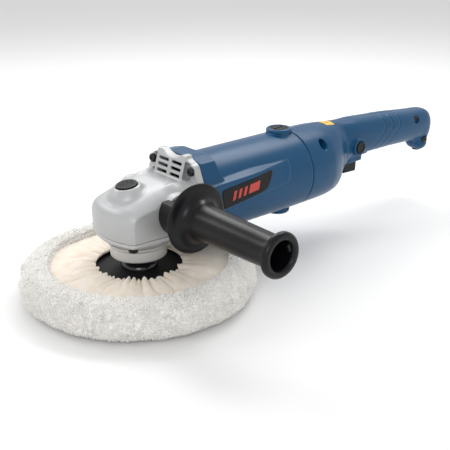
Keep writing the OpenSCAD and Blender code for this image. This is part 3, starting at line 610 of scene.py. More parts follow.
boxShell = surfaceOf("bearingBox", boxField, (-35, -35, 33), (34, 35, 60), bearingBox["step"])
machinedNeck = finishes["castAlloy"].copy()
machinedNeck.name = "alloyWithTurnedNeck"
tree = machinedNeck.node_tree
shader = tree.nodes["Principled BSDF"]
where = tree.nodes.new("ShaderNodeTexCoord")
split = tree.nodes.new("ShaderNodeSeparateXYZ")
low = tree.nodes.new("ShaderNodeMapRange")  # high on the turned neck, low on the casting
for label, value in (("From Min", 0.0492), ("From Max", 0.0485), ("To Min", 0.3), ("To Max", 0.75)):
    low.inputs[label].default_value = value
warm = tree.nodes.new("ShaderNodeMix")
warm.data_type = "RGBA"
warm.inputs["B"].default_value = (0.66, 0.675, 0.69, 1)
tree.links.new(where.outputs["Object"], split.inputs[0])
tree.links.new(split.outputs["Z"], low.inputs["Value"])
tree.links.new(low.outputs["Result"], warm.inputs["Factor"])
tree.links.new(shader.inputs["Base Color"].links[0].from_socket, warm.inputs["A"])
tree.links.new(warm.outputs["Result"], shader.inputs["Base Color"])
tree.links.new(low.outputs["Result"], shader.inputs["Metallic"])
paint(boxShell, machinedNeck)
handOver(boxShell, "tool", "alloy_cover", "bearing_box")
print("bearing box:", len(boxShell.data.polygons), "faces")

# Motor housing

housing = {"step": 0.98, "radius": 37.2, "wall": 3.0, "blockEnd": 62.5, "panelOut": 38.3, "bossRadius": 12.0}


def panelFace(x, z):  # how far the side panel stands out, running out into the barrel at its rear
    rise = z - motorZ
    runOut = smoothStep((x - 92) / 56)
    arc = np.sqrt(np.maximum(37.7 ** 2 - rise * rise, 1))
    return housing["panelOut"] * (1 - runOut) + arc * runOut


def housingField(x, y, z):
    h = housing
    side = np.abs(y)
    barrel = common(round2(y, z - motorZ, h["radius"]), between(x, flangeX + 0.1, seamX - 0.5), 0.9)
    endX = h["blockEnd"] + 4.5 * (np.clip(112 - z, 0, 17) / 17) ** 1.6
    block = common(inOutline(y, z, flangeOutline(0.4, 114.6)), np.maximum(flangeX + 0.1 - x, x - endX), 1.6)
    topEdge = 92 + 3 * np.clip((x - 54) / 96, 0, 1)
    face = side - panelFace(x, z)
    ledge = ((z - topEdge) + 0.3 * face) / 1.044
    foot = 66.5 + (x - 48.5) * 0.107 - z
    rear = round2(x - 96, (z - 100) * 0.9, 50.5)
    panel = common(common(common(face, ledge, 0.9), foot, 0.9), rear, 0.9)
    panel = np.maximum(panel, np.maximum(48 - x, 22 - side))
    body = joined(joined(barrel, block, 1.2), panel, 0.9)
    # Brush bosses, with arched notches under their rims
    away = round2(x - brushX, y, 0.001)
    level = np.abs(z - motorZ)
    boss = common(common(away - h["bossRadius"], level - 41.5, 1.4), (away + level - 52.6) * 0.707, 0.8)
    turn = np.arctan2(y, x - brushX) * 3 / math.pi + 0.3
    along = (turn - np.round(turn)) * math.pi / 3 * h["bossRadius"]
    arch = np.maximum(round2(along, level - 34.8, 3.3), 10.9 - away)
    boss = without(boss, arch, 0.3)
    body = joined(body, np.maximum(boss, 20 - level), 0.9)
    # Lip that closes the seam, and the cup of the rear bearing
    lip = np.maximum(round2(y, z - motorZ, 35.6), between(x, seamX - 4, seamX + 0.5))
    cup = np.maximum(round2(y, z - motorZ, 16.5), between(x, seamX - 6, 187))
    body = np.minimum(body, np.minimum(lip, cup))
    hollow = np.maximum(round2(y, z - motorZ, h["radius"] - h["wall"]), x - seamX + 4)
    ribs = np.maximum(-round2(y, z - motorZ, 32.1), np.minimum(between(x, 88, 92), between(x, 126, 130)))
    body = without(body, np.maximum(hollow, -ribs), 0.5)
    axis = round2(y, z - motorZ, 0.001)
    body = without(body, np.maximum(axis - 13.6, between(x, seamX - 5, 186)), 0.4)
    body = without(body, np.maximum(axis - 6, seamX - 10 - x), 0.4)
    body = without(body, np.maximum(away - 8.6, 37.5 - level), 0.5)
    body = without(body, np.maximum(away - 6.6, 10 - level), 0.3)
    for sy, sz in flangeSpots:
        body = drilled(body, y - sy, z - sz, 2.15, x - 56, 0.2)
    return body


housingShell = surfaceOf("motorHousing", housingField, (43, -41, 29), (189, 41, 118), housing["step"])
paint(housingShell, "blueCasing")
handOver(housingShell, "tool", "housing_blue", "motor_housing")
print("motor housing:", len(housingShell.data.polygons), "faces")

# Rear handle, in two halves

handle = {"step": 0.72, "wall": 3.0,
          "grooves": [303.0, 315.5, 328.0], "grooveDepth": 0.45, "grooveWidth": 0.75,
          "knobRadius": 8.8, "tailRadius": 8.4, "postRadius": 5.0, "coolingSlots": 4, "inletRadius": 4.5}
triggerPivot, lockOn = (middle("trigger_pin")[0], middle("trigger_pin")[2]), (260, 80.6)
screwSpots, deepSpot, inletX = [(357.5, 91), (377, 64.5)], (197, 97.5), 380
handleSeats = [(x, -11.5, z) for x, z in screwSpots] + [(deepSpot[0], -16, deepSpot[1])]  # of the screws
# Along the handle: where, height of the middle, half width, half height, squareness
stations = np.array([
    (170, 73.4, 37, 37, 2), (175, 73.4, 37, 37, 2), (192, 73.4, 36.8, 36.9, 2), (206, 73.5, 35.6, 36.5, 2.05),
    (218, 73.4, 31.8, 35.9, 2.1), (228, 73.6, 26.6, 34.9, 2.2), (236, 75.3, 20.8, 32.8, 2.25),
    (240, 77.1, 18.6, 30.6, 2.3), (244, 79.8, 17.2, 27.6, 2.35), (249, 83.6, 16.9, 23.5, 2.4),
    (254, 85.9, 16.9, 21, 2.45), (259, 86.8, 17, 20, 2.5), (264, 87, 17, 19.8, 2.5), (290, 86, 17.2, 19, 2.5),
    (316, 85, 17, 18.4, 2.5), (342, 83.2, 16.6, 17.6, 2.5), (356, 82.2, 16, 17.2, 2.5),
    (364, 81.5, 15.6, 17.2, 2.5), (372, 80.8, 15, 17.4, 2.5), (380, 80.1, 14, 17.2, 2.5),
    (386, 79.2, 12.2, 16, 2.4), (389.6, 78.6, 9.2, 12.4, 2.3), (391.6, 78, 5, 7.6, 2.2)])


def smoothAlong(x, column):  # a smooth line through the stations
    xs, ys = stations[:, 0], stations[:, column]
    chord = np.diff(ys) / np.diff(xs)
    both, total = chord[1:] * chord[:-1], chord[1:] + chord[:-1]
    inner = np.where(both > 0, 2 * both / np.where(total == 0, 1, total), 0)
    slope = np.concatenate([[chord[0]], inner, [chord[-1]]])
    i = np.clip(np.searchsorted(xs, x) - 1, 0, len(xs) - 2)
    gap = xs[i + 1] - xs[i]
    t = np.clip((x - xs[i]) / gap, 0, 1)
    return ((2 * t ** 3 - 3 * t ** 2 + 1) * ys[i] + (t ** 3 - 2 * t ** 2 + t) * gap * slope[i]
            + (3 * t ** 2 - 2 * t ** 3) * ys[i + 1] + (t ** 3 - t ** 2) * gap * slope[i + 1])


def handleBody(x, y, z, inset=0.0):
    mid, wide, high, square = (smoothAlong(x, c) for c in (1, 2, 3, 4))
    wide, high = np.maximum(wide - inset, 0.5), np.maximum(high - inset, 0.5)
    reach = np.sqrt(y * y + (z - mid) ** 2)
    form = (np.abs(y / wide) ** square + np.abs((z - mid) / high) ** square) ** (1 / square)
    return reach * (1 - 1 / np.maximum(form, 0.05))


def handleField(x, y, z):
    h = handle
    body = common(handleBody(x, y, z), np.maximum(seamX + 0.5 - x, x - 391.6), 1.0)
    # Grip grooves: down the side, then forward
    bend = np.interp(z, [66, 78, 89, 93, 98, 101, 106], [24, 15, 2.2, 0.3, 0.0, 1.0, 4.0])
    for gx in h["grooves"]:
        body = body + h["grooveDepth"] * np.exp(-((x + bend - gx) / h["grooveWidth"]) ** 2)
    step = common(common(np.abs(y) - 10.6, between(x, 250, 283), 2), between(z, 67.5, 76), 2)
    lower = common(common(np.abs(y) - 9.8, between(x, 250, 276), 2), between(z, 61.5, 70), 2)
    body = joined(body, joined(step, lower, 1.2), 1.6)
    knob = round2(x - lockOn[0], z - lockOn[1], h["knobRadius"])
    body = joined(body, common(knob, np.maximum(-20.6 - y, y + 8), 1.4), 1.2)
    tail = fromLine(x, z, (377.5, 74), (379, 59.8))
    tail = np.sqrt(tail ** 2 + np.maximum(np.abs(y) - 4, 0) ** 2) - h["tailRadius"]
    body = joined(body, tail, 4)
    # Hollow with its screw posts
    hollow = np.maximum(handleBody(x, y, z, h["wall"]), np.maximum(seamX - x, x - 386))
    for sx, sz in screwSpots:
        hollow = np.maximum(hollow, -round2(x - sx, z - sz, h["postRadius"]))
    hollow = np.maximum(hollow, -round2(x - deepSpot[0], z - deepSpot[1], 5.5))
    body = without(body, hollow, 0.5)
    # Trigger slot, lock-on bore, screw holes, cooling slots, cord inlet
    body = without(body, np.maximum(np.maximum(between(x, 248, 274.2), np.abs(y) - 7.3), z - 78), 0.6)
    body = drilled(body, x - lockOn[0], z - lockOn[1], 6.2, y + 9, 0.7)
    for sx, seatY, sz in handleSeats:
        body = drilled(body, x - sx, z - sz, 4.5, y - seatY, 0.7)
        body = drilled(body, x - sx, z - sz, 1.9, y - 12, 0.2)
    body = drilled(body, x - triggerPivot[0], z - triggerPivot[1], 1.55, np.abs(y) - 9.6, 0.2)
    for i in range(h["coolingSlots"]):  # round the lower rear of the bulb
        slotX, slotZ = 245 - 5.2 * i, 63 - 7.5 * i
        cut = fromLine(x, z, (slotX - 5, slotZ - 3.5), (slotX + 6, slotZ + 4)) - 1.1
        body = without(body, np.maximum(cut, 9.5 - np.abs(y)), 0.4)
    body = drilled(body, x - inletX, y, h["inletRadius"], z - 60, 0.8)
    return drilled(body, x - brushX, y, 12.3, np.abs(z - motorZ) - 44, 0.4)


for name, node, side in (("handleLeft", "handle_left", 1), ("handleRight", "handle_right", -1)):
    def halfField(x, y, z):
        return common(handleField(x, y, z), side * y + 0.06, 0.7)
    reachY = (-40, 1.5) if side > 0 else (-1.5, 40)
    half = surfaceOf(name, halfField, (174, reachY[0], 35), (394, reachY[1], 113), handle["step"])
    paint(half, "blueCasing")
    handOver(half, "tool", "housing_blue", node)
    print(name, len(half.data.polygons), "faces")

# Side handle

sideHandle = {"guardY": 54.5, "guardRadius": 29.4, "endY": 154.0, "endRadius": 18.2, "boreRadius": 11.4}
guard, guardRadius = sideHandle["guardY"], sideHandle["guardRadius"]
end, endRadius, boreRadius = sideHandle["endY"], sideHandle["endRadius"], sideHandle["boreRadius"]
gripLine = [(0, end - 34), (boreRadius, end - 34), (boreRadius, end - 2.6), (boreRadius + 1.4, end),
            (endRadius - 1.8, end), (endRadius, end - 1.8), (endRadius, end - 5.4)]
gripLine = roundCorners(gripLine, 1.0)[:-6] + [(endRadius, end - 4.6)]
gripLine += arcPoints(endRadius, end - 11, -5, 5.8, range(80, -1, -10))
gripLine += [(13.5, end - 24), (13.9, guard + 55), (14.3, guard + 32), (14.7, guard + 19)]
gripLine += [(25 - 9.6 * math.sin(math.radians(a)), guard + 12.4 - 9.8 * math.cos(math.radians(a)))
             for a in range(84, -1, -7)]  # dished root of the guard
gripLine += [(27.6, guard + 2.3), (guardRadius - 0.7, guard + 1.9), (guardRadius - 0.1, guard + 1.3),
             (guardRadius, guard + 0.8), (guardRadius - 0.4, guard), (7.1, guard), (7.1, guard + 30),
             (0, guard + 30)]
grip = lathe("sideHandleGrip", gripLine, (sideX, 0, sideZ), (0, -1, 0), 128)
softShade(paint(grip, "blackGrip"), 50)
handOver(grip, "tool", "handle_black", "side_handle_grip")
collarLine = roundCorners([(15.2, 31.6), (19.6, 31.6), (20.6, 32.6), (20.8, 54.3), (7.4, 54.3), (7.4, 35.6),
                           (15.2, 35.6)], 0.6)
collar = lathe("sideHandleCollar", collarLine, (sideX, 0, sideZ), (0, -1, 0), 112)
for vertex in collar.data.vertices:  # its top is flat
    vertex.co.z = min(vertex.co.z, 89.8 * mm)
softShade(paint(collar, "blackMoulding"), 50)
handOver(collar, "tool", "handle_black", "side_handle_collar")
# Locating rib inside the hollow end
ribY = -(end - 9)


def ribField(x, y, z):
    ring = common(round2(x - sideX, z - sideZ, 11.35), -round2(x - sideX, z - sideZ, 8.6), 0.5)
    reach = np.abs(np.arctan2(z - sideZ, x - sideX) - 0.35) * 10 - 3.4
    return common(ring, common(np.abs(y - ribY) - 6.5, reach, 0.6), 0.6)


rib = surfaceOf("sideHandleRib", ribField, (sideX - 13, ribY - 8, sideZ - 13),
                (sideX + 13, ribY + 8, sideZ + 13), 0.45)
paint(rib, "blackGrip")
handOver(rib, "tool", "handle_black")
print("side handle made")

# Buttons, caps and trigger

lockButton = {"radius": 9.0, "thick": 3.4, "lift": 1.1, "dotPitch": 1.5, "dotReach": 7.4}
faceZ, footZ, lockRadius = lockTop - 0.35, lockTop - lockButton["thick"], lockButton["radius"]
lockLine = roundCorners([(0, footZ), (lockRadius, footZ), (lockRadius, faceZ), (0, faceZ)], 0.8)
lockDisc = lathe("lockDisc", lockLine, (lockX, 0, 0), (0, 0, 1), 64)
paint(lockDisc, "blackMoulding")
dot = lathe("dotShape", [(0, -0.3), (0.45, -0.3), (0.32, 0.28), (0, 0.33)], (0, 0, 0), (0, 0, 1), 6)
dots = []
for row in range(-6, 7):
    for col in range(-6, 7):
        dx, dy = (col + 0.5 * (row % 2)) * lockButton["dotPitch"], row * lockButton["dotPitch"] * 0.866
        if math.hypot(dx, dy) < lockButton["dotReach"]:
            dots.append(((lockX + dx, dy, faceZ), (0, 0, 1)))
lockDots = copiesOn("lockDots", dots, dot, finishes["blackMoulding"])
lockPiece = joinPieces("lockButton", [lockDisc, lockDots])
for vertex in lockPiece.data.vertices:  # its face slants with the crown
    if vertex.co.z > (lockTop - 2) * mm:
        vertex.co.z += (vertex.co.x - lockX * mm) * gearCase["bossSlant"] + lockButton["lift"] * mm
softShade(lockPiece, 40)
handOver(lockPiece, "spindle_lock", "button_black", "lock_button")

lockOnLine = roundCorners([(0, 13.4), (3, 13.4), (3, 15), (6, 15), (6, 21.6), (4.6, 21.6), (4.2, 21.2),
                           (0, 21.2)], 0.6)
lockOnPiece = lathe("lockOnButton", lockOnLine, (lockOn[0], 0, lockOn[1]), (0, -1, 0), 64)
softShade(paint(lockOnPiece, "blackMoulding"), 45)
handOver(lockOnPiece, "lock_on", "button_black", "lock_on_button")

capTop = corners("brush_caps")[1][2] - motorZ


def capField(x, y, z):
    level = np.abs(z - motorZ)
    away = round2(x - brushX, y, 0.001)
    cap = common(common(away - 8.45, level - capTop, 0.9), 37.6 - level, 0.4)
    ring = np.maximum(np.abs(away - 6.2) - 0.45, capTop - 0.5 - level)
    slot = np.maximum(np.maximum(np.abs(y) - 0.9, np.abs(x - brushX) - 5.6), capTop - 1.5 - level)
    return without(without(cap, ring, 0.4), slot, 0.4)


capPieces = []
for side in (1, -1):
    capPieces.append(surfaceOf("cap", capField, (brushX - 10, -10, motorZ + side * 39.5 - 3.2),
                               (brushX + 10, 10, motorZ + side * 39.5 + 3.2), 0.42))
caps = softShade(joinPieces("brushCaps", [paint(c, "blackMoulding") for c in capPieces]))
handOver(caps, "tool", "button_black", "brush_caps")


def triggerField(x, y, z):
    lever = inOutline(x, z, [(251.4, 69), (251.8, 51.4), (269.8, 50.6), (272.8, 62), (272.4, 66), (269, 69)])
    body = common(lever, np.abs(y) - 7, 1.6)
    body = without(body, round2(x - 282.2, z - 57.5, 11.8), 1.0)  # hollow for the finger
    return without(body, round2(x - triggerPivot[0], z - triggerPivot[1], 1.58), 0.3)


triggerPiece = surfaceOf("triggerLever", triggerField, (249, -8.5, 48), (274.5, 8.5, 71), 0.5)
paint(triggerPiece, "blackMoulding")
handOver(triggerPiece, "trigger_lever", "button_black", "trigger")
print("buttons, caps and trigger made")

# Screws

def screwShape(headRadius, headHigh, shankRadius, shankLong):
    line = [(0, -shankLong), (shankRadius, -shankLong), (shankRadius, -0.02), (headRadius, 0)]
    for a in (0, 15, 30, 45, 60, 75, 90):
        r = headRadius * math.cos(math.radians(a)) ** 0.55 if a < 90 else 0
        line.append((r, headHigh * (0.35 + 0.65 * math.sin(math.radians(a)))))
    body = lathe("screwBody", line, (0, 0, 0), (0, 0, 1), 40)
    arm, half = headRadius * 0.56, 0.42 * headRadius / 4
    cutPoints = [(sx * arm * k, sy * half, z) for z, k in ((headHigh * 0.35, 0.6), (headHigh + 1, 1.0))
                 for sx, sy in ((-1, -1), (1, -1), (1, 1), (-1, 1))]
    cutFaces = [(3, 2, 1, 0), (4, 5, 6, 7), (0, 1, 5, 4), (1, 2, 6, 5), (2, 3, 7, 6), (3, 0, 4, 7)]
    for turn in (0, 90):  # cross recess
        cut = addMesh("screwCut", cutPoints, cutFaces)
        cut.data.transform(Matrix.Rotation(math.radians(turn), 4, "Z"))
        modifier = body.modifiers.new("recess", "BOOLEAN")
        modifier.operation, modifier.solver, modifier.object = "DIFFERENCE", "EXACT", cut
        freeze(body)
        bpy.data.objects.remove(cut)
    return body


caseScrews = copiesOn("gearCaseScrews", [((38, y, z), (-1, 0, 0)) for y, z in flangeSpots],
                      screwShape(4.0, 3.2, 2.1, 16), finishes["darkSteel"])
handOver(caseScrews, "tool", "screw_black", "gear_case_screws")
boxScrews = copiesOn("bearingBoxScrews", [((x, y, 51.5), (0, 0, -1)) for x, y in boxSpots],
                     screwShape(4.0, 2.9, 1.9, 12), finishes["darkSteel"])
handOver(boxScrews, "tool", "screw_steel", "bearing_box_screws")
handleScrews = copiesOn("handleScrews", [(seat, (0, -1, 0)) for seat in handleSeats],
                        screwShape(4.0, 2.4, 1.8, 20), finishes["darkSteel"])
handOver(handleScrews, "tool", "screw_steel", "handle_screws")
print("screws set")

# Nameplates with plain slanted stripes, and the label on top

plate = {"thick": 0.6, "stripes": [(74, 3.2), (80, 3.2), (86, 3.2), (92, 12)], "lowZ": 0.26, "highZ": 0.74}
plateOutline = roundCorners([(63, 69.6), (110, 74.8), (115, 77.2), (122.6, 90.6), (121, 92.2), (60.8, 86.8)],
                            1.4, 4)


def plateMask(u, v):
    return inOutline(u, v, [tuple(p) for p in plateOutline])


def plateSheet(name, side, mask, thick, low, high, step=0.5):
    def field(x, y, z):
        out = side * y - panelFace(x, z)
        return common(mask(x, z), np.maximum(-0.15 - out, out - thick), 0.25)
    near = sorted((side * 34.0, side * 40.5))
    return surfaceOf(name, field, (low[0], near[0], low[1]), (high[0], near[1], high[1]), step)


def stripeMask(x, z):
    result = None
    foot = 69.6 + (x - 63) * 0.111
    top = 86.8 + (x - 60.8) * 0.09
    share = (z - foot) / (top - foot)
    for start, wide in plate["stripes"]:
        middleX = start + wide / 2 + (z - 82) * 0.25
        ends = np.maximum(plate["lowZ"] - share, share - plate["highZ"]) * 17
        bar = common(np.abs(x - middleX) - wide / 2, ends, 0.3)
        result = bar if result is None else np.minimum(result, bar)
    return result


redMarking = makeFinish("redMarking", (0.52, 0.045, 0.03), 0.4, grain=0.5, depth=0.006, patch=0.05)
plates, marks = [], []
for side in (-1, 1):
    ground = plateSheet("plate", side, plateMask, plate["thick"], (58, 67), (125, 95))
    plates.append(paint(ground, "blackMoulding"))
    stripes = plateSheet("mark", side, stripeMask, plate["thick"] + 0.22, (66, 70), (114, 94), 0.45)
    marks.append(paint(stripes, redMarking))
plateGround = joinPieces("nameplates", plates)
handOver(softShade(plateGround), "tool", "plate_black", "nameplates")
plateMarks = joinPieces("nameplateStripes", marks)
handOver(softShade(plateMarks), "tool", "plate_black")

yellowLabel = makeFinish("yellowLabel", (0.86, 0.52, 0.06), 0.4, grain=0.6, depth=0.006, patch=0.04)
orangeMark = makeFinish("orangeMark", (0.75, 0.22, 0.03), 0.4, grain=0.6, depth=0.006, patch=0.04)


def labelSheet(name, middleX, middleY, halfLong, halfWide, lift, finish):  # lies on the bulb's crown
    def field(x, y, z):
        patch = common(np.abs(x - middleX) - halfLong, np.abs(y - middleY) - halfWide, 1.0)
        return common(patch, between(handleBody(x, y, z), -0.25, lift), 0.2)
    sheet = surfaceOf(name, field, (middleX - 9, middleY - 9, 98), (middleX + 9, middleY + 9, 113), 0.4)
    return paint(sheet, finish)


label = labelSheet("warningLabel", 227.5, -2.5, 5.6, 5.8, 0.3, yellowLabel)
handOver(label, "tool", "yellow_label", "warning_sticker")
mark = labelSheet("warningLabelMark", 227.5, -1.8, 2.6, 1.6, 0.5, orangeMark)
handOver(mark, "tool", "yellow_label")
print("plates and label made")

# Wool bonnet

wool = {"radius": corners("wool_bonnet")[1][0], "crest": 34.0, "segments": 420, "density": 1050000.0,
        "tuftLong": 2.1, "tuftWide": 0.7, "lean": 1.0, "shortest": 0.55, "longest": 1.15, "seed": 7,
        "clumps": [(0.055, 1.6), (0.14, 1.8), (0.3, 1.1)]}  # how close and how high, from broad to fine


def woolOutline():
    r, crest = wool["radius"] - 1.7, wool["crest"] - 2.2
    out = [(0, 1.6), (40, 1.6), (70, 1.6), (80, 1.6)]
    out += arcPoints(r - 13, 13.5, 13, 12, range(-80, 1, 10))
    out += arcPoints(r - 17, 13.5, 17, crest - 13.5, range(10, 111, 8))
    out += [(78, 29.2), (76.4, 27), (76.2, 24.8), (80, 22.4), (85.4, 19.5), (85.4, 15), (81, 12.6)]
    return out + [(60, 11.6), (31, 11), (0, 11)]


woolCore = lathe("woolBonnet", woolOutline(), (0, 0, 0), (0, 0, 1), wool["segments"])
for vertex in woolCore.data.vertices:
    p = vertex.co / mm
    r = math.hypot(p.x, p.y)
    if r > 75.5 and p.z > 1.0 and not (r < 86 and p.z < 24.5):
        clump = sum(noise.noise(p * rate) * high for rate, high in wool["clumps"])
        swell = 0.3 - 0.95 * math.cos(math.atan2(p.y, p.x) + 0.9)
        away = Vector((p.x / r, p.y / r, 0)) * (0.8 if p.z < 24 else 0.35)
        away += Vector((0, 0, 1)) * (0.1 if p.z < 16 else 0.75)
        vertex.co += away * (clump * min(1, (r - 75.5) / 7) + swell * 0.8) * mm
        vertex.co.z = max(vertex.co.z, 1.4 * mm)
pile = woolCore.data.attributes.new("pile", "FLOAT", "POINT")
comb = woolCore.data.attributes.new("comb", "FLOAT_VECTOR", "POINT")
pileValues, combValues = [], []
for vertex in woolCore.data.vertices:
    p = vertex.co / mm
    r = math.hypot(p.x, p.y)
    inside = (r < 86.5 and 2.5 < p.z < 24.6) or (p.z > 10 and r < 73)
    pileValues.append(0.0 if inside else (0.42 if p.z < 2.5 else 1.0))
    stray = noise.noise_vector(p * 0.09) * 0.75
    inward = -0.35 if (r < 82 and p.z > 20) else 0.0
    combValues += [stray.x + inward * p.x / max(r, 1), stray.y + inward * p.y / max(r, 1), stray.z * 0.6]
pile.data.foreach_set("value", pileValues)
comb.data.foreach_set("vector", combValues)

woolFinish = makeFinish("woolFinish", (0.965, 0.95, 0.915), 0.95, grain=1.1, depth=0.02, patch=0.01,
                        patchSize=16, dirt=(0.955, 0.935, 0.895), sheen=0.6, specular=0.05)
tuftLong, tuftWide, thirds = wool["tuftLong"], wool["tuftWide"], (0, 2.09, 4.19)
tuft = addMesh("tuftShape", [(tuftWide * math.cos(a), tuftWide * math.sin(a), -0.6) for a in thirds]
               + [(0.5 + 0.7 * tuftWide * math.cos(a), 0.2 + 0.7 * tuftWide * math.sin(a), tuftLong * 0.6)
                  for a in thirds]
               + [(1.5, 0.7, tuftLong)],
               [(0, 1, 4, 3), (1, 2, 5, 4), (2, 0, 3, 5), (3, 4, 6), (4, 5, 6), (5, 3, 6), (2, 1, 0)])
grow = woolCore.modifiers.new("pile", "NODES")
grow.node_group = growPile
for name, value in (("Tuft", tuft), ("Density", wool["density"]), ("Shortest", wool["shortest"]),
                    ("Longest", wool["longest"]), ("Lean", wool["lean"]), ("Seed", wool["seed"]),
                    ("Finish", woolFinish)):
    setInput(grow, name, value)
freeze(woolCore)
bpy.data.objects.remove(tuft)
for vertex in woolCore.data.vertices:
    vertex.co.z = max(vertex.co.z, 0.1 * mm)
softShade(woolCore)
handOver(woolCore, "spindle_assembly", "wool", "wool_bonnet")
print("wool:", len(woolCore.data.polygons), "faces")

# Hub of the backing pad

hubLow, hubHigh = corners("pad_hub")
hubTop = min(hubHigh[2], 31.5)
hubLine = roundCorners([(8.6, hubLow[2]), (15.9, hubLow[2]), (15.9, hubTop - 4), (12, hubTop), (8.6, hubTop)],
                       4, 8)
hub = lathe("padHub", hubLine, (0, 0, 0), (0, 0, 1), 96)
softShade(paint(hub, "glossBlack"), 50)
handOver(hub, "spindle_assembly", "hub_black", "pad_hub")
print("hub made")

# Gathered cotton skirt

skirt = {"opening": 37.0, "outer": 81.0, "gathers": 39, "depth": 2.5, "folds": 17, "foldDepth": 3.6,
         "thick": 0.7, "around": 925, "across": 52, "seed": 11}
random.seed(skirt["seed"])


def unevenSteps(count, spread):  # angles where folds end, unevenly spaced
    ends = np.cumsum([1 + random.uniform(-spread, spread) for _ in range(count)])
    return ends / ends[-1] * 2 * math.pi


gatherEnds, foldEnds = unevenSteps(skirt["gathers"], 0.45), unevenSteps(skirt["folds"], 0.55)
gatherHeights = [random.uniform(0.5, 1.2) for _ in gatherEnds]
foldHeights = [random.uniform(0.35, 1.25) for _ in foldEnds]
foldReaches = [random.uniform(0.5, 1.0) for _ in foldEnds]


def creased(turn, ends):  # which fold this angle is in, and its arch: steep in the crease, round on top
    turn = turn % (2 * math.pi)
    k = int(np.searchsorted(ends, turn)) % len(ends)
    begin = ends[k - 1] if k else 0.0
    return k, max(0.0, math.sin(math.pi * (turn - begin) / (ends[k] - begin))) ** 0.6


def skirtPoint(turn, share):  # share runs from 0 at the opening to 1 under the wool
    sway = 0.05 * math.sin(turn * 4 + 1) * share + 0.03 * math.sin(turn * 9 + share * 4) * share
    k, small = creased(turn + sway, gatherEnds)
    m, large = creased(turn + sway * 2, foldEnds)
    nearEdge = max(0.0, 1 - share / 0.5) ** 1.3
    swell = 0.25
    if share < foldReaches[m]:
        swell = math.sin(math.pi * min(1, share / foldReaches[m] * 0.9 + 0.08))
    lift = skirt["depth"] * gatherHeights[k] * small * (0.12 + 0.88 * nearEdge)
    lift += skirt["foldDepth"] * foldHeights[m] * (large - 0.35) * max(0.1, swell)
    slow = noise.noise(Vector((math.cos(turn) * 1.7, math.sin(turn) * 1.7, share * 1.4))) * 1.8
    crease = noise.noise(Vector((math.cos(turn) * 11, math.sin(turn) * 11, share * 4))) * 0.7
    edge = max(0.0, 1 - share * 9)
    r = skirt["opening"] + (skirt["outer"] - skirt["opening"]) * share
    r += edge * (1.6 - 2.9 * small * gatherHeights[k]) + 0.3 * noise.noise(Vector((turn * 6, share * 3, 2)))
    z = 25.6 + 1.5 * math.sin(math.pi * min(1, share * 0.85 + 0.1)) + lift + slow * share + crease * share
    return (r * math.cos(turn), r * math.sin(turn), max(z - edge * 1.0 * (1 - small), 24.4))


around, across = skirt["around"], skirt["across"]
points = [skirtPoint(2 * math.pi * i / around, j / across) for j in range(across + 1) for i in range(around)]
faces = []
for j in range(across):
    for i in range(around):
        near, far = j * around, (j + 1) * around
        faces.append((near + i, near + (i + 1) % around, far + (i + 1) % around, far + i))
cotton = addMesh("bonnetSkirt", points, faces)
work = bmesh.new()
work.from_mesh(cotton.data)
bmesh.ops.recalc_face_normals(work, faces=work.faces)
if sum(f.normal.z for f in work.faces) < 0:
    bmesh.ops.reverse_faces(work, faces=work.faces)
uvLayer = work.loops.layers.uv.new("weave")
for face in work.faces:
    for loop in face.loops:
        p = loop.vert.co / mm
        loop[uvLayer].uv = (math.atan2(p.y, p.x) * 0.074, math.hypot(p.x, p.y) * mm)
work.to_mesh(cotton.data)
work.free()
thick = cotton.modifiers.new("cloth", "SOLIDIFY")
thick.thickness, thick.offset = skirt["thick"] * mm, -1
freeze(cotton)

cottonFinish = makeFinish("cottonFinish", (0.86, 0.79, 0.71), 0.85, depth=0.05, patch=0.03, patchSize=9,
                          dirt=(0.84, 0.73, 0.6), sheen=0.25, specular=0.2)
tree = cottonFinish.node_tree
uv = tree.nodes.new("ShaderNodeUVMap")
uv.uv_map = "weave"
threads = []
for way in ("X", "Y"):
    wave = tree.nodes.new("ShaderNodeTexWave")
    wave.bands_direction = way
    wave.inputs["Scale"].default_value = 420
    wave.inputs["Distortion"].default_value = 0.6
    tree.links.new(uv.outputs["UV"], wave.inputs["Vector"])
    threads.append(wave)
over = tree.nodes.new("ShaderNodeMath")
over.operation = "MAXIMUM"
tree.links.new(threads[0].outputs["Fac"], over.inputs[0])
tree.links.new(threads[1].outputs["Fac"], over.inputs[1])
clothBump = [x for x in tree.nodes if x.bl_idname == "ShaderNodeBump"][0]
clothBump.inputs["Distance"].default_value = 0.00006
tree.links.new(over.outputs[0], clothBump.inputs["Height"])
softShade(paint(cotton, cottonFinish), 60)
handOver(cotton, "spindle_assembly", "cotton", "bonnet_skirt")

# Drawstring: two plies twisted in the hem

string = {"radius": 38.0, "height": 25.9, "ply": 0.62, "twists": 34, "steps": 680, "sides": 14}
steps, sides = string["steps"], string["sides"]
ringPoints, ringFaces = [], []
for i in range(steps):
    turn = 2 * math.pi * i / steps
    for k in range(sides):
        a = 2 * math.pi * k / sides
        r = string["ply"] * (1 + 0.42 * abs(math.cos(a + turn * string["twists"])))
        reach, height = string["radius"] + r * math.cos(a), string["height"] + r * math.sin(a)
        ringPoints.append((reach * math.cos(turn), reach * math.sin(turn), height))
        i2, k2 = (i + 1) % steps, (k + 1) % sides
        ringFaces.append((i * sides + k, i2 * sides + k, i2 * sides + k2, i * sides + k2))
cordRing = pointOutwards(addMesh("drawstring", ringPoints, ringFaces))
stringFinish = makeFinish("stringFinish", (0.80, 0.74, 0.62), 0.85, grain=0.3, depth=0.06, sheen=0.2)
softShade(paint(cordRing, stringFinish))
handOver(cordRing, "spindle_assembly", "string", "drawstring")
print("bonnet made")

# Floor, lights and camera

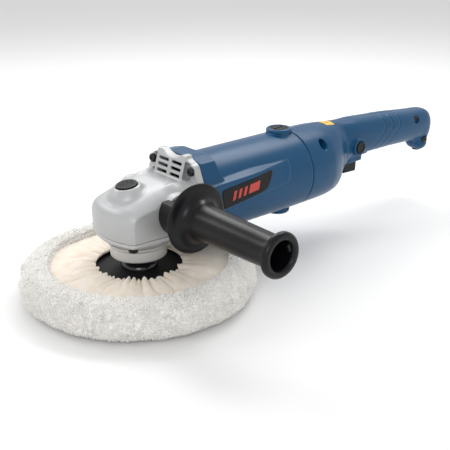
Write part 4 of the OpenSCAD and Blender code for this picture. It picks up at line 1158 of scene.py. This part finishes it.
floor = {"half": 4000, "height": -0.05, "shade": 0.86}
floorCorners = [(x * floor["half"], y * floor["half"], floor["height"])
                for x, y in ((-1, -1), (1, -1), (1, 1), (-1, 1))]
floorMesh = addMesh("floor", floorCorners, [(0, 1, 2, 3)])
floorFinish = makeFinish("floorFinish", [floor["shade"]] * 3, 0.7, grain=3, depth=0.0, patch=0.004, patchSize=300)
floorMesh.data.materials.append(floorFinish)

world = bpy.data.worlds.new("studio")
bpy.context.scene.world = world
world.use_nodes = True
tree = world.node_tree
glow = tree.nodes["Background"]
glow.inputs["Color"].default_value = (1, 1, 1, 1)
coords, split = tree.nodes.new("ShaderNodeTexCoord"), tree.nodes.new("ShaderNodeSeparateXYZ")
sky = tree.nodes.new("ShaderNodeMapRange")  # bright all round, a little dimmer overhead
for label, value in (("From Min", -0.1), ("From Max", 1.0), ("To Min", 0.92), ("To Max", 0.66)):
    sky.inputs[label].default_value = value
seen = tree.nodes.new("ShaderNodeLightPath")
backdrop = tree.nodes.new("ShaderNodeMix")
backdrop.inputs["B"].default_value = 1.0
tree.links.new(coords.outputs["Generated"], split.inputs[0])
tree.links.new(split.outputs["Z"], sky.inputs["Value"])
tree.links.new(seen.outputs["Is Camera Ray"], backdrop.inputs["Factor"])
tree.links.new(sky.outputs["Result"], backdrop.inputs["A"])
tree.links.new(backdrop.outputs["Result"], glow.inputs["Strength"])


def putAimed(name, data, place, aim):  # a lamp or camera, looking at the aim
    obj = bpy.data.objects.new(name, data)
    obj.location = place
    obj.rotation_euler = (Vector(aim) - Vector(place)).to_track_quat("-Z", "Y").to_euler()
    bpy.context.scene.collection.objects.link(obj)
    return obj


# Softboxes: place, aim, width, depth and power
softboxes = {"overhead": ((0.1, 0.05, 1.1), (0.1, 0, 0.05), 0.9, 0.9, 0.4),
             "rear": ((0.74, 0.2, 0.9), (0.15, 0, 0.06), 0.6, 0.3, 4.2),
             "far": ((0.32, 0.62, 0.78), (0.1, -0.1, 0.06), 0.45, 0.3, 2.4),
             "backLeft": ((-0.42, 0.85, 0.75), (0.0, 0, 0.06), 0.6, 0.25, 2.2),
             "front": ((-0.75, -0.85, 0.7), (0.08, 0, 0.04), 0.5, 0.5, 3.2)}
for name, (place, aim, width, depth, power) in softboxes.items():
    lamp = bpy.data.lights.new(name, "AREA")
    lamp.shape, lamp.size, lamp.size_y, lamp.energy = "RECTANGLE", width, depth, power
    putAimed(name, lamp, place, aim)

view = {"place": (-0.3894, -0.5558, 0.3359), "aim": (0.0976, 0, 0.0343), "lens": 69.26, "sensor": 36}
lens = bpy.data.cameras.new("camera")
lens.lens, lens.sensor_width = view["lens"], view["sensor"]
bpy.context.scene.camera = putAimed("camera", lens, view["place"], view["aim"])
bpy.context.scene.view_settings.view_transform = "Standard"

bpy.context.view_layer.update()
print("scene ready")
